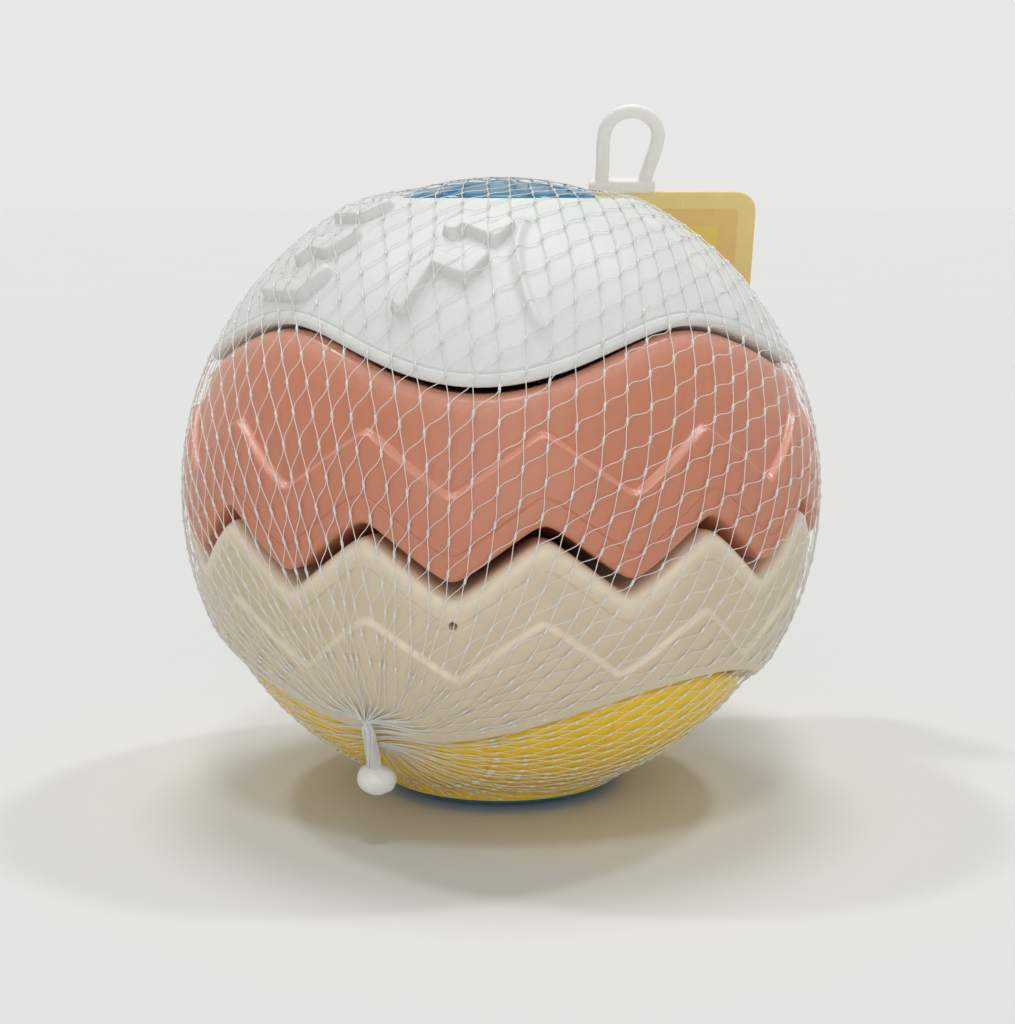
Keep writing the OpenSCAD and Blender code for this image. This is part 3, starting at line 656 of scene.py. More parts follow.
class AddLowerRing(Operator):
    """Ring with teeth above, a waved lower edge, a faint zigzag step, a parting line and a vent hole"""
    bl_idname = "sensory_ball.lower_ring"
    bl_label = "Lower ring"

    def execute(self, context):
        ball, finishes = context.scene.ball_sizes, context.scene.ball_finishes
        vent_az = ball.tooth_turn - math.pi / ball.tooth_count
        vent_lat = lower_high(ball, vent_az) - ball.parting_down / ball.radius

        def vent(az, lat):
            """Depth of the vent hole: its depth inside the radius, and none a wall further out."""
            away = np.hypot(folded(az, vent_az, 1) * np.cos(vent_lat), lat - vent_lat) * ball.radius
            return ball.vent_depth * (1 - ramp((away / ball.vent_radius - VENT_WALL_FROM) / VENT_WALL))

        az = even_azimuths(LOWER_COLUMNS, vent_az + VENT_COLUMNS * ball.vent_radius / ball.radius)
        high = lower_high(ball, az)
        step = step_latitude(ball, az, ball.radius * math.sin(ball.lower_step_latitude))
        over = polar(ball, upper_low(ball, az), ball.radius - ball.tooth_edge)
        shape = ring_surface(
            ball, az, (lower_low(ball, az), high), (ball.sill_edge, ball.tooth_edge),
            (sill_hub(ball), ball.tooth_hub), step, ball.lower_step,
            high - ball.parting_down / ball.radius, over, vent)
        add_layer("lower_ring", "lower", "beige_plastic", shape, finishes.beige,
                  roughness=0.42, grain=0.10, mottle=0.06)
        return {"FINISHED"}


class AddUpperRing(Operator):
    """Ring with a toothed lower edge, a waved upper edge, a deep zigzag step and a parting line"""
    bl_idname = "sensory_ball.upper_ring"
    bl_label = "Upper ring"

    def execute(self, context):
        ball, finishes = context.scene.ball_sizes, context.scene.ball_finishes
        az = even_azimuths(UPPER_COLUMNS)
        low = upper_low(ball, az)
        over = polar(ball, cap_low(ball, az), ball.radius - ball.lip_edge)
        shape = ring_surface(
            ball, az, (low, upper_high(ball, az)), (ball.tooth_edge, ball.shoulder_edge),
            (ball.tooth_hub, ball.wave_hub), step_latitude(ball, az, ball.upper_step_level), ball.upper_step,
            low + ball.parting_up / ball.radius, over)
        add_layer("upper_ring", "upper", "pink_plastic", shape, finishes.pink,
                  roughness=0.33, grain=0.10, mottle=0.06)
        return {"FINISHED"}


class AddTopCap(Operator):
    """Cap with a waved lower lip, raised ridges and beads, and a flat rim round the dome"""
    bl_idname = "sensory_ball.top_cap"
    bl_label = "Top cap"

    def execute(self, context):
        scene = context.scene
        ball, relief, finishes = scene.ball_sizes, scene.ball_relief, scene.ball_finishes
        fine_az = np.radians(np.concatenate([np.arange(*field, RIDGE_COLUMN) for field in RIDGE_FIELDS]))
        az = even_azimuths(CAP_COLUMNS, (fine_az + round_turns(relief.groups)[:, None]).ravel())
        low = cap_low(ball, az)
        rim_level = ball.radius - ball.rim_drop
        turn_lat = math.asin((rim_level - ball.rim_edge) / (ball.radius - ball.rim_edge))
        parting = low + ball.parting_lip / ball.radius
        fine = 4 * ball.parting_width / ball.radius
        field = np.maximum(parting + fine + 0.01, RIDGES_FROM)
        breaks = [low + ball.lip_edge / ball.radius, parting - fine, parting + fine, field,
                  np.full(len(az), turn_lat)]
        lat = rows_between(breaks, CAP_ROWS)
        proud = cap_relief(ball, relief, az[:, None], lat) * ramp((turn_lat - lat) / RELIEF_FADE)
        proud = proud - parting_groove(ball, (lat - parting[:, None]) * ball.radius)
        low_round = soft_edge(ball, low, ball.radius, 1, ball.lip_edge, LIP_ROWS)
        t = np.linspace(turn_lat, math.pi / 2, RIM_ROWS)[1:]
        turn = polar(ball, turn_lat, ball.radius - ball.rim_edge)
        rim_round = turn + ball.rim_edge * np.stack([np.cos(t), np.sin(t)], -1)
        # Painted highlight, with lower roughness, that grows towards the rounded rim round the dome and holds
        # over the rim
        worn = RIM_HIGHLIGHT * np.exp(-(turn_lat - lat) * ball.radius / HIGHLIGHT_REACH)
        shape = joined(az, [
            (hub_corners(ball, az, ball.wave_hub)[:, 1:], 0),
            (seat_face(ball, low_round[:, 0], ball.wave_hub), 0), (low_round[:, :-1], 0),
            (polar(ball, lat, ball.radius + proud), worn), (all_round(az, rim_round), RIM_HIGHLIGHT),
            (hub_corners(ball, az, rim_level)[:, 1:], 0)])
        add_layer("top_cap", "cap", "white_plastic", shape, finishes.white,
                  roughness=0.45, grain=0.16, mottle=0.035)
        return {"FINISHED"}


class AddBaseBowl(Operator):
    """Bowl with soft upright grooves, a waved upper edge and a hub that carries the lower ring"""
    bl_idname = "sensory_ball.base_bowl"
    bl_label = "Base bowl"

    def execute(self, context):
        scene = context.scene
        ball, core, finishes = scene.ball_sizes, scene.ball_core, scene.ball_finishes
        az = even_azimuths(BOWL_COLUMNS)
        skin_radius = ball.radius - ball.bowl_inset
        opening = core.flange_width + bore_radius(ball)
        skirt = opening + SKIRT_WALL
        high = bowl_high(ball, az)
        low_lat = np.full(len(az), -math.acos(skirt / skin_radius))
        lat = rows_between([low_lat, high - ball.sill_edge / ball.radius], [BOWL_ROWS])
        side = folded(az, ball.groove_turn, ball.groove_count)
        away = np.abs(side)[:, None] * np.cos(lat) * skin_radius
        fade = ramp((lat - low_lat[:, None]) / RELIEF_FADE)
        dip = ball.groove_depth * bell(away, ball.groove_width) * fade
        high_round = soft_edge(ball, high, skin_radius, -1, ball.sill_edge)[:, ::-1]
        over = polar(ball, lower_low(ball, az), ball.radius - ball.sill_edge)
        inner = [[bore_radius(ball), core.seat_height], [opening, core.seat_height],
                 [opening, ball.skirt_height + 0.1 * MM], [opening + 0.2 * MM, ball.skirt_height],
                 [opening + 0.4 * MM, ball.skirt_height], [skirt, ball.skirt_height + 0.3 * MM]]
        # The bowl's skin is painted lighter and less saturated, with lower roughness, along each groove, most
        # at its middle
        shape = joined(az, [
            (all_round(az, inner), 0),
            (polar(ball, lat, skin_radius - dip), ramp(1 - away / (3 * ball.groove_width)) * GROOVE_LIGHTENING),
            (high_round[:, 1:], 0), (under_face(ball, high_round[:, -1], over, sill_hub(ball)), 0),
            (hub_corners(ball, az, sill_hub(ball)), 0)])
        add_layer("base_bowl", "bowl", "yellow_plastic", shape, finishes.yellow,
                  roughness=0.36, grain=0.10, mottle=0.06)
        return {"FINISHED"}


class AddCorePost(Operator):
    """Post with a glossy creased dome at its upper end and a flanged round foot"""
    bl_idname = "sensory_ball.core_post"
    bl_label = "Core post"

    def execute(self, context):
        scene = context.scene
        ball, core, finishes = scene.ball_sizes, scene.ball_core, scene.ball_finishes
        az = even_azimuths(CORE_COLUMNS)
        crown = centre_height(ball) + ball.radius - ball.crown_drop
        dome_centre = crown - core.dome_radius
        edge_r = ball.post_radius - core.dome_edge
        edge_h = dome_centre + math.sqrt((core.dome_radius - core.dome_edge) ** 2 - edge_r ** 2)
        bend = math.atan2(edge_h - dome_centre, edge_r)
        t = np.linspace(0, bend, EDGE_STEPS)
        edge = np.stack([edge_r + core.dome_edge * np.cos(t), edge_h + core.dome_edge * np.sin(t)], -1)
        lift = np.linspace(bend, math.pi / 2 - 0.0005, DOME_ROWS)[1:]
        dome_r = core.dome_radius * np.cos(lift)
        side = folded(az, core.crease_turn, core.crease_count)
        away = np.abs(side)[:, None] * dome_r[None, :]
        fade = ramp(dome_r / CREASE_FROM) * ramp((edge_r + CREASE_END - dome_r) / CREASE_FADE)
        dip = core.crease_depth * bell(away, core.crease_width) * fade
        swell = DOME_SWELL * np.sin(math.pi * dome_r / edge_r)
        swell = swell * (np.cos(core.crease_count * side)[:, None] - 1) / 2
        reach = core.dome_radius - dip + swell
        dome = np.stack([reach * np.cos(lift), dome_centre + reach * np.sin(lift)], -1)
        flange = ball.post_radius + core.flange_width
        foot_ends = [-math.acos(radius / ball.radius) for radius in (core.foot_radius, flange)]
        foot = polar(ball, np.linspace(*foot_ends, FOOT_ROWS), ball.radius)
        side_low = max(foot[-1, 1], core.seat_height - core.flange_side)
        flange_side = [[flange, side_low + 0.01 * MM], [flange, core.seat_height],
                       [ball.post_radius, core.seat_height]]
        lower = np.concatenate([[[0.2 * MM, 0]], foot, flange_side, edge])
        surface = turned(az, np.concatenate([all_round(az, lower), dome], axis=1))
        piece("core_post_skin", *capped(surface, [[0, 0, 0], [0, 0, crown]]),
              glossy_plastic("blue_plastic", finishes.blue), "core", ["core_post"], "blue_plastic")
        return {"FINISHED"}


# Net

# Parts of the net from the bowl up, with the bodies that they ride on
NET_LAYERS = (("net_base", "bowl"), ("net_lower", "lower"), ("net_upper", "upper"), ("net_top", "cap"))
# Where the strands leave the neck and reach the tail, as angles from the seal, and where the knots start
NET_START, NET_END = math.radians(12), math.pi - math.radians(7)
FIRST_KNOT = NET_START + math.radians(7)
# Latitude of the lowest strands, which pass outside the flange when the bowl lifts
NET_LOWEST = math.radians(-67.5)
# Angle over which the net goes straight over the sill, and the width of its slope up to a ridge
SILL_REACH, RIDGE_SKIRT = 0.14, 2.2 * MM
# Latitudes in degrees where the net goes straight to the foot, with shares of the way, and over the rim
FOOT_LATITUDES, FOOT_SHARES = [-75, -68, -63], [1, 0.65, 0]
RIM_LATITUDES = [64.5, 69.9, 74.4]
# Points of a strand on the skin and in a bend, links in the neck, and sides of a strand
SKIN_STEPS, BEND_STEPS, NECK_LINKS, STRAND_SIDES = 200, 14, 6, 6
# How closely the strands draw together at the seal, and how thin they are near it and in the bundles
TUFT_SHARE, FINE_SHARE, BUNDLE_SHARE = 0.92, 0.72, 0.8
# Slow pulls that make a stretched net uneven: the size, the waves round the axis and the waves along it
TURN_PULLS = ((0.010, 5, 2.3), (0.006, 13, -4.1), (0.004, 29, 7.7))
ALONG_PULLS = ((0.010, 4, -3.1), (0.006, 17, 9.3))
# Places of a knot's rings along it, in shares of its length, and their shares of its radius
KNOT_PLACES = np.array([-0.5, -0.3, 0, 0.3, 0.5])
KNOT_SHARES = np.array([0.45, 0.85, 1, 0.85, 0.45])
# Points round the bead and up it, and round the tail's core and along it
BEAD_STEPS, TAIL_STEPS = (64, 40), (96, 24)
UP = np.array([0, 0, 1])
RIGHT = np.array([1.0, 0, 0])


def net_axes(net):
    """Axis of the net from its seal to its tail, and two directions across it."""
    axis = -direction(net.seal_latitude, net.seal_azimuth)
    first = unit(np.cross(UP, axis))
    return axis, first, np.cross(axis, first)


def net_radius(ball, relief, net, az, lat):
    """Distance of the net from the ball's centre: the skin and a clearance, straight over the sill, the rim
    and the foot, and lifted over the cap's relief."""
    gap, degrees = net.clearance, np.degrees(lat)
    inside = ball.bowl_inset * (1 - ramp((lat - lat_at(ball, sill_seam(ball, az))) / SILL_REACH + 0.5))
    foot = np.interp(degrees, FOOT_LATITUDES, FOOT_SHARES)
    rim = np.interp(degrees, RIM_LATITUDES, [0, 0.8 * MM + gap / 2, ball.crown_drop])
    lifted = cap_relief(ball, relief, az, lat, RIDGE_SKIRT) * ramp((lat - 0.5) / 0.08)
    reach = ball.radius + gap - inside * (1 - foot) - (gap - 0.2 * MM) * foot - rim
    return reach + np.maximum(lifted - gap / 2, 0)


def pulled(turn, along, pulls):
    """Sum of slow sines of the turn and the way along, fading to none at both ends of the net."""
    waves = sum(size * np.sin(across * turn + ahead * along) for size, across, ahead in pulls)
    return np.sin(along) ** 2 * waves


def net_point(ball, relief, net, along, turn):
    """Place of the net's own coordinates: along from 0 at the seal to pi at the tail, turn round the axis.
    Slow pulls make both uneven, and near the seal the turns draw together into tufts."""
    axis, first, second = net_axes(net)
    tuft = TUFT_SHARE * bell(along, net.tuft_reach)
    turn = turn - tuft * np.sin(net.tufts * turn) / net.tufts
    turn = turn + pulled(turn, along, TURN_PULLS)
    along = along + pulled(turn, along, ALONG_PULLS)
    lean = along - math.pi / 2
    out = (np.cos(lean)[..., None] * (np.cos(turn)[..., None] * first + np.sin(turn)[..., None] * second)
           + np.sin(lean)[..., None] * axis)
    place = out * net_radius(ball, relief, net, *place_of(out))[..., None]
    return place + [0, 0, centre_height(ball)], out


def layer_of(ball, out):
    """Layer that a direction from the centre points at: 0 bowl, 1 lower ring, 2 upper ring, 3 cap, and -1
    below the lowest strands."""
    az, lat = place_of(out)
    layer = (lat > lat_at(ball, sill_seam(ball, az) - ball.sill_gap / 2)).astype(int)
    layer += lat > lat_at(ball, tooth_seam(ball, az))
    layer += lat > lat_at(ball, wave_seam(ball, az))
    return np.where(lat < NET_LOWEST, -1, layer)


def gather(start, ahead, finish, outward):
    """Cubic curve from a point and a direction on the skin to a point and a direction on a neck."""
    t = np.linspace(0, 1, BEND_STEPS)[None, :, None]
    pull = np.linalg.norm(finish - start, axis=-1)[:, None, None]
    return ((2 * t ** 3 - 3 * t ** 2 + 1) * start[:, None] + (t ** 3 - 2 * t ** 2 + t) * pull * ahead[:, None]
            + (3 * t ** 2 - 2 * t ** 3) * finish[:, None] + (t ** 3 - t ** 2) * pull * outward)


def bundle_ends(middle, axis, radius, turn, fill):
    """Places of gathered strands in a round bundle: each at its own turn, and at a share of the radius."""
    first = unit(np.cross(axis, UP))
    second = np.cross(axis, first)
    spoke = np.cos(turn)[:, None] * first + np.sin(turn)[:, None] * second
    return middle + (radius * fill)[:, None] * spoke


def tubes(paths, outs, radii):
    """Rings of points round strands: the strand's point plus its radius along the normal and across it."""
    ahead = unit(np.gradient(paths, axis=1))
    normal = unit(outs - (outs * ahead).sum(-1, keepdims=True) * ahead)
    across = np.cross(ahead, normal)
    t = round_turns(STRAND_SIDES)
    ring = normal[..., None, :] * np.cos(t)[:, None] + across[..., None, :] * np.sin(t)[:, None]
    return paths[..., None, :] + radii[..., None, None] * ring


def tube_quads(layers):
    """Quads of the tubes' walls and end caps for each link between two rings, with the layer of each quad."""
    strands, links = layers.shape
    rings = np.arange(strands * (links + 1)).reshape(strands, links + 1) * STRAND_SIDES
    side = np.arange(STRAND_SIDES)
    after = (side + 1) % STRAND_SIDES
    start, end = rings[:, :-1, None], rings[:, 1:, None]
    walls = np.stack([start + side, start + after, end + after, end + side], -1)
    wall_layers = np.broadcast_to(layers[..., None], walls.shape[:-1])
    edge = np.full((strands, 1), -1)
    padded = np.concatenate([edge, layers, edge], axis=1)
    changed = padded[:, 1:] != padded[:, :-1]
    caps = np.array([[0, 1, 2, 3], [0, 3, 4, 5]])
    ends = (rings[changed][:, None, None] + caps).reshape(-1, 4)
    before = np.repeat(padded[:, :-1][changed], 2)
    behind = np.repeat(padded[:, 1:][changed], 2)
    quads = np.concatenate([walls.reshape(-1, 4), ends, ends[:, ::-1]])
    return quads, np.concatenate([wall_layers.ravel(), before, behind])


def only_used(points, quads):
    """Points that the quads use, and the quads with the points' new numbers."""
    used, numbers = np.unique(quads, return_inverse=True)
    return points[used], numbers.reshape(quads.shape)


def neck_line(scene):
    """Start, direction and length of the neck of the seal, which hangs from the skin over the sill."""
    ball, net = scene.ball_sizes, scene.ball_net
    out = direction(net.gather_latitude, net.gather_azimuth)
    start = out * (ball.radius + net.clearance + net.neck_radius) + [0, 0, centre_height(ball)]
    return start, direction(-net.neck_droop, net.neck_turn), net.neck_length


def tail_line(scene):
    """Start, direction and length of the tail, from the net to the card's face."""
    ball, net, card = scene.ball_sizes, scene.ball_net, scene.ball_card
    axis, _, _ = net_axes(net)
    start = axis * (ball.radius + 1.6 * MM)
    normal = np.array([0, math.cos(card.lean), math.sin(card.lean)])
    return start + [0, 0, centre_height(ball)], normal, card.stand_off - start @ normal


class AddNet(Operator):
    """Knotted net of steep and crossing strands, gathered at both ends, one part on each layer"""
    bl_idname = "sensory_ball.net"
    bl_label = "Net"

    def execute(self, context):
        scene = context.scene
        net = scene.ball_net
        rng = np.random.default_rng(7)
        thick, thin = round_turns(net.thick_strands), round_turns(net.thin_strands)
        parts = [self.strands(scene, rng, thick, -1, net.thin_strands, net.thick_radius, net.thick_sway),
                 self.strands(scene, rng, thin, 1, net.thick_strands, net.thin_radius, -net.thin_sway),
                 self.knots(scene, thick, thin)]
        finish = net_filament("net_filament", scene.ball_finishes.net)
        points = np.concatenate([part[0] for part in parts])
        firsts = np.cumsum([0] + [len(part[0]) for part in parts])
        for layer, (name, body) in enumerate(NET_LAYERS):
            chosen = [quads[layers == layer] + first for (_, quads, layers), first in zip(parts, firsts)]
            used, quads = only_used(points, np.concatenate(chosen))
            piece(name + "_strands", used, quads, finish, body, [name], "net_filament", crease=80)
        return {"FINISHED"}

    def strands(self, scene, rng, starts, way, others, radius, swing):
        """Tubes of one family of strands and the layer of each quad. A strand winds round the net's axis and
        swings between the knots, on its way from the neck over the skin to the tail."""
        ball, relief, net = scene.ball_sizes, scene.ball_relief, scene.ball_net
        along = np.linspace(NET_START, NET_END, SKIN_STEPS)[None, :]
        phase = (starts[:, None] + 2 * way * net.twist * along) * others / (2 * math.pi)
        turn = starts[:, None] + way * net.twist * along
        turn = turn + way * swing / ball.radius * np.sin(2 * math.pi * phase)
        skin, outs = net_point(ball, relief, net, along + 0 * turn, turn)
        neck, neck_outs = self.gathered(scene, rng, skin, turn, outs, True)
        tail, tail_outs = self.gathered(scene, rng, skin, turn, outs, False)
        paths = np.concatenate([neck[:, :0:-1], skin, tail[:, 1:]], axis=1)
        outs = np.concatenate([neck_outs[:, :0:-1], outs, tail_outs[:, 1:]], axis=1)
        close = np.cos(math.pi * phase) ** 8
        fine = FINE_SHARE + (1 - FINE_SHARE) * ramp((along - NET_START) / 0.5)
        radii = np.full(paths.shape[:2], BUNDLE_SHARE * radius)
        skin_from = neck.shape[1] - 1
        radii[:, skin_from:skin_from + SKIN_STEPS] *= (1.15 + 0.35 * close) * fine
        middles = (paths[:, :-1] + paths[:, 1:]) / 2 - [0, 0, centre_height(ball)]
        links = layer_of(ball, unit(middles))
        links[:, :NECK_LINKS] = 0
        return tubes(paths, outs, radii).reshape(-1, 3), *tube_quads(links)

    def gathered(self, scene, rng, skin, turn, outs, at_seal):
        """Ends of the strands from the skin into the neck at the seal or the tail at the card. A strand that
        comes from below joins the neck further down."""
        net = scene.ball_net
        end, inner = (0, 1) if at_seal else (-1, -2)
        start, spin = skin[:, end], turn[:, end]
        fill = np.sqrt(rng.uniform(0.1, 1, len(start)))
        if at_seal:
            middle, axis, reach = neck_line(scene)
            join = np.clip((middle[2] - start[:, 2]) / reach + 0.1, 0, 0.6)
            low_radius = high_radius = net.neck_radius
        else:
            middle, axis, reach = tail_line(scene)
            join, spin = np.zeros(len(start)), -spin
            low_radius, high_radius = net.tail_radius * 0.55, net.tail_radius
        low = bundle_ends(middle + (join * reach)[:, None] * axis, axis, low_radius, spin, fill)
        high = bundle_ends(middle + reach * axis, axis, high_radius, spin + 0.9, fill)
        bend = gather(start, unit(start - skin[:, inner]), low, axis)
        t = np.linspace(0, 1, NECK_LINKS + 1)[None, 1:, None]
        path = np.concatenate([bend, low[:, None] + (high - low)[:, None] * t], axis=1)
        return path, np.broadcast_to(outs[:, end][:, None], path.shape)

    def knots(self, scene, thick, thin):
        """Tubes of the knots, and the layer of each quad. A thick strand meets a thin one where the way along
        is the difference of their starts over twice the twist; a knot is a spindle on the thick one."""
        ball, relief, net = scene.ball_sizes, scene.ball_relief, scene.ball_net
        along = (thick[:, None] - thin[None, :]) % (2 * math.pi) / (2 * net.twist)
        chosen = (along > FIRST_KNOT) & (along < NET_END)
        turn = (thick[:, None] - net.twist * along)[chosen]
        along, step = along[chosen], 0.01
        places, outs = net_point(ball, relief, net, along, turn)
        ahead, _ = net_point(ball, relief, net, along + step, turn - net.twist * step)
        paths = places[:, None] + unit(ahead - places)[:, None] * (KNOT_PLACES * net.knot_length)[:, None]
        radii = np.broadcast_to(KNOT_SHARES * net.knot_radius, paths.shape[:2])
        links = np.repeat(layer_of(ball, outs)[:, None], len(KNOT_PLACES) - 1, axis=1)
        return tubes(paths, outs[:, None], radii).reshape(-1, 3), *tube_quads(links)


class AddNetEnds(Operator):
    """Melted bead that closes the net in front, and the core of the tail behind"""
    bl_idname = "sensory_ball.net_ends"
    bl_label = "Net ends"

    def execute(self, context):
        self.add_bead(context.scene)
        self.add_tail(context.scene)
        return {"FINISHED"}

    def add_bead(self, scene):
        """Bead of the seal: a flattened ball whose radius swings slightly with the turn t and the lift l."""
        net = scene.ball_net
        start, axis, reach = neck_line(scene)
        middle = start + axis * (reach + net.bead_height * 0.35)
        lift = np.linspace(-math.pi / 2 + 0.04, math.pi / 2 - 0.04, BEAD_STEPS[1])
        t, l = np.meshgrid(round_turns(BEAD_STEPS[0]), lift, indexing="ij")
        lump = 0.03 * np.sin(3 * t + 1) + 0.02 * np.sin(5 * t + 4 * l) + 0.02 * np.sin(2 * t - 3 * l)
        lump = 1 + np.cos(l) * lump
        wide = net.bead_width * np.cos(l) ** 0.8 * lump
        x, y, z = wide * np.cos(t), 0.9 * wide * np.sin(t), net.bead_height * np.sin(l) * lump
        front = np.cross(axis, RIGHT)
        surface = middle + x[..., None] * RIGHT - y[..., None] * front - z[..., None] * axis
        ends = middle + np.array([net.bead_height, -net.bead_height])[:, None] * axis
        finish = melted_plastic("seal_plastic", scene.ball_finishes.seal)
        piece("net_seal_bead", *capped(surface, ends), finish, "bowl", ["net_seal"], "seal_plastic",
              crease=120)

    def add_tail(self, scene):
        """Fluted core of the tail: a cone whose radius swings with the turn t, as gathered strands do."""
        net = scene.ball_net
        start, axis, reach = tail_line(scene)
        share_up = np.linspace(0, 1, TAIL_STEPS[1])
        t, s = np.meshgrid(round_turns(TAIL_STEPS[0]), share_up, indexing="ij")
        flute = 1 + 0.08 * np.cos(12 * t + 5 * s) + 0.05 * np.cos(7 * t - 3 * s)
        radius = net.tail_radius * (0.42 + 0.5 * s ** 1.5) * flute
        spoke = np.cos(t)[..., None] * RIGHT + np.sin(t)[..., None] * np.cross(axis, RIGHT)
        surface = start + (s * reach)[..., None] * axis + radius[..., None] * spoke
        piece("net_tail_core", *capped(surface, [start, start + reach * axis]),
              bpy.data.materials["net_filament"], "cap", ["net_tail"], "net_filament")


# Card and loop

# Distances of the card's rows of points from its edge in millimetres, from the middle out
CARD_ROWS = np.concatenate([np.linspace(25, 12.6, 24), np.linspace(12, 0.5, 40), [0.2, 0.08, 0]])
# Points round the card, and how far its lower half bows out
CARD_COLUMNS, CARD_BOW = 720, 0.5 * MM
# Share of its width that the loop keeps at its feet, and points round its rod, along a leg and over the top
LOOP_WAIST, ROD_SIDES, LEG_STEPS, ARC_STEPS = 0.8, 24, 28, 60
# Places along the clip in shares of its length, and how far it is drawn in there
CLIP_PLACES = np.array([0, 0.02, 0.07, 0.5, 0.93, 0.98, 1])
CLIP_SHARES = np.array([0.4, 0.75, 1, 1, 1, 0.75, 0.4])


def card_place(scene, x, y, z):
    """Place of the card's own coordinates: x right, y up the card from its top edge, z away from the ball."""
    ball, card = scene.ball_sizes, scene.ball_card
    up = np.array([0, -math.sin(card.lean), math.cos(card.lean)])
    out = np.array([0, math.cos(card.lean), math.sin(card.lean)])
    rise = (card.top - card.stand_off * math.sin(card.lean)) / math.cos(card.lean)
    start = np.array([card.offset, 0, centre_height(ball)]) + rise * up + card.stand_off * out
    return start + x[..., None] * RIGHT + y[..., None] * up + z[..., None] * out


def squared(wave, power):
    """Cosine or sine whose round is drawn towards a square by a power below 1."""
    return np.sign(wave) * np.abs(wave) ** power


class AddHeaderCard(Operator):
    """Folded card behind the ball, with round corners and a plain border"""
    bl_idname = "sensory_ball.header_card"
    bl_label = "Header card"

    def execute(self, context):
        scene = context.scene
        card = scene.ball_card
        turn, inset = round_turns(CARD_COLUMNS), CARD_ROWS * MM
        half_w, half_h = card.width / 2, card.height / 2

        def outline(inside):
            """Rounded rectangle at a distance inside the card's edge: rays from the middle, cut there."""
            w, h = half_w - inside, half_h - inside
            corner = np.maximum(card.corner - inside, 0.4 * MM)
            c, s = np.abs(np.cos(turn)), np.abs(np.sin(turn))
            straight = np.minimum(w / np.maximum(c, 1e-9), h / np.maximum(s, 1e-9))
            along = c * (w - corner) + s * (h - corner)
            beyond = along ** 2 - (w - corner) ** 2 - (h - corner) ** 2 + corner ** 2
            curved = along + np.sqrt(np.maximum(beyond, 0))
            at_corner = (straight * c > w - corner) & (straight * s > h - corner)
            reach = np.where(at_corner, curved, straight)
            return np.stack([reach * np.cos(turn), reach * np.sin(turn)], -1)

        flat = np.stack([outline(step) for step in inset], axis=1)
        edge = card.thickness * np.array([0] * (len(inset) - 2) + [0.03, 0.12])
        bow = CARD_BOW * (1 - (flat[..., 0] / half_w) ** 2) * ramp(-flat[..., 1] / half_h)
        both = np.concatenate([flat, flat[:, ::-1]], axis=1)
        z = np.concatenate([card.thickness - edge + bow, (edge + bow)[:, ::-1]], axis=1)
        surface = card_place(scene, both[..., 0], both[..., 1] - half_h, z)
        faces = np.array([card.thickness, 0]) + bow[0, 0]
        middles = card_place(scene, np.zeros(2), np.full(2, -half_h), faces)
        made = piece("header_card_board", *capped(surface, middles),
                     printed_card("yellow_card", scene.ball_finishes), "cap", ["header_card"], "yellow_card")
        rim = np.broadcast_to(np.concatenate([inset, inset[::-1]]), both.shape[:2])
        note_values(made, "rim", np.concatenate([rim.ravel(), [1, 1]]))
        return {"FINISHED"}


class AddHangLoop(Operator):
    """Loop of flat plastic rod on a clip at the card's top edge"""
    bl_idname = "sensory_ball.hang_loop"
    bl_label = "Hang loop"

    def execute(self, context):
        scene = context.scene
        rod, rod_quads = self.rod(scene)
        clip, clip_quads = self.clip(scene)
        quads = np.concatenate([rod_quads, clip_quads + len(rod)])
        piece("hang_loop_rod", np.concatenate([rod, clip]), quads,
              melted_plastic("loop_plastic", scene.ball_finishes.loop), "cap", ["hang_loop"], "loop_plastic")
        return {"FINISHED"}

    def rod(self, scene):
        """Bent rod: two legs that widen upwards and a half round over them, with a squarish section."""
        card = scene.ball_card
        bend = (card.loop_width - card.loop_rod) / 2
        leg = card.loop_height - card.loop_width / 2 - card.loop_rod / 2
        rise = np.linspace(0, 1, LEG_STEPS)
        arc = np.linspace(0, math.pi, ARC_STEPS)[1:-1]
        leg_x = bend * (LOOP_WAIST + (1 - LOOP_WAIST) * ramp(rise))
        x = np.concatenate([leg_x, bend * np.cos(arc), -leg_x[::-1]])
        y = np.concatenate([leg * rise, leg + bend * np.sin(arc), leg * rise[::-1]])
        c, s = math.cos(card.loop_lean), math.sin(card.loop_lean)
        path = np.stack([x * c + y * s - card.loop_offset, y * c - x * s + card.loop_rod / 2], -1)
        ahead = unit(np.gradient(path, axis=0))
        outward = np.stack([ahead[:, 1], -ahead[:, 0]], -1)
        t = round_turns(ROD_SIDES)
        wide = card.loop_rod / 2 * squared(np.cos(t), 0.7)
        deep = card.loop_rod / 2 * 0.85 * squared(np.sin(t), 0.7)
        flat = path[None] + wide[:, None, None] * outward[None]
        z = np.broadcast_to(card.thickness / 2 + deep[:, None], flat.shape[:2])
        ends = card_place(scene, path[[0, -1], 0], path[[0, -1], 1], np.full(2, card.thickness / 2))
        return capped(card_place(scene, flat[..., 0], flat[..., 1], z), ends)

    def clip(self, scene):
        """Soft bar along the card's top edge: a rounded square carried along x, drawn in at both ends."""
        card = scene.ball_card
        t, half = round_turns(ROD_SIDES)[:, None], card.loop_rod / 2
        y = half + half * squared(np.cos(t), 0.5) * CLIP_SHARES
        z = card.thickness / 2 + half * squared(np.sin(t), 0.5) * CLIP_SHARES
        x = np.broadcast_to((CLIP_PLACES - 0.5) * card.loop_width - card.loop_offset, y.shape)
        ends = card_place(scene, x[0, [0, -1]], np.full(2, half), np.full(2, card.thickness / 2))
        return capped(card_place(scene, x, y, z), ends)


# Materials

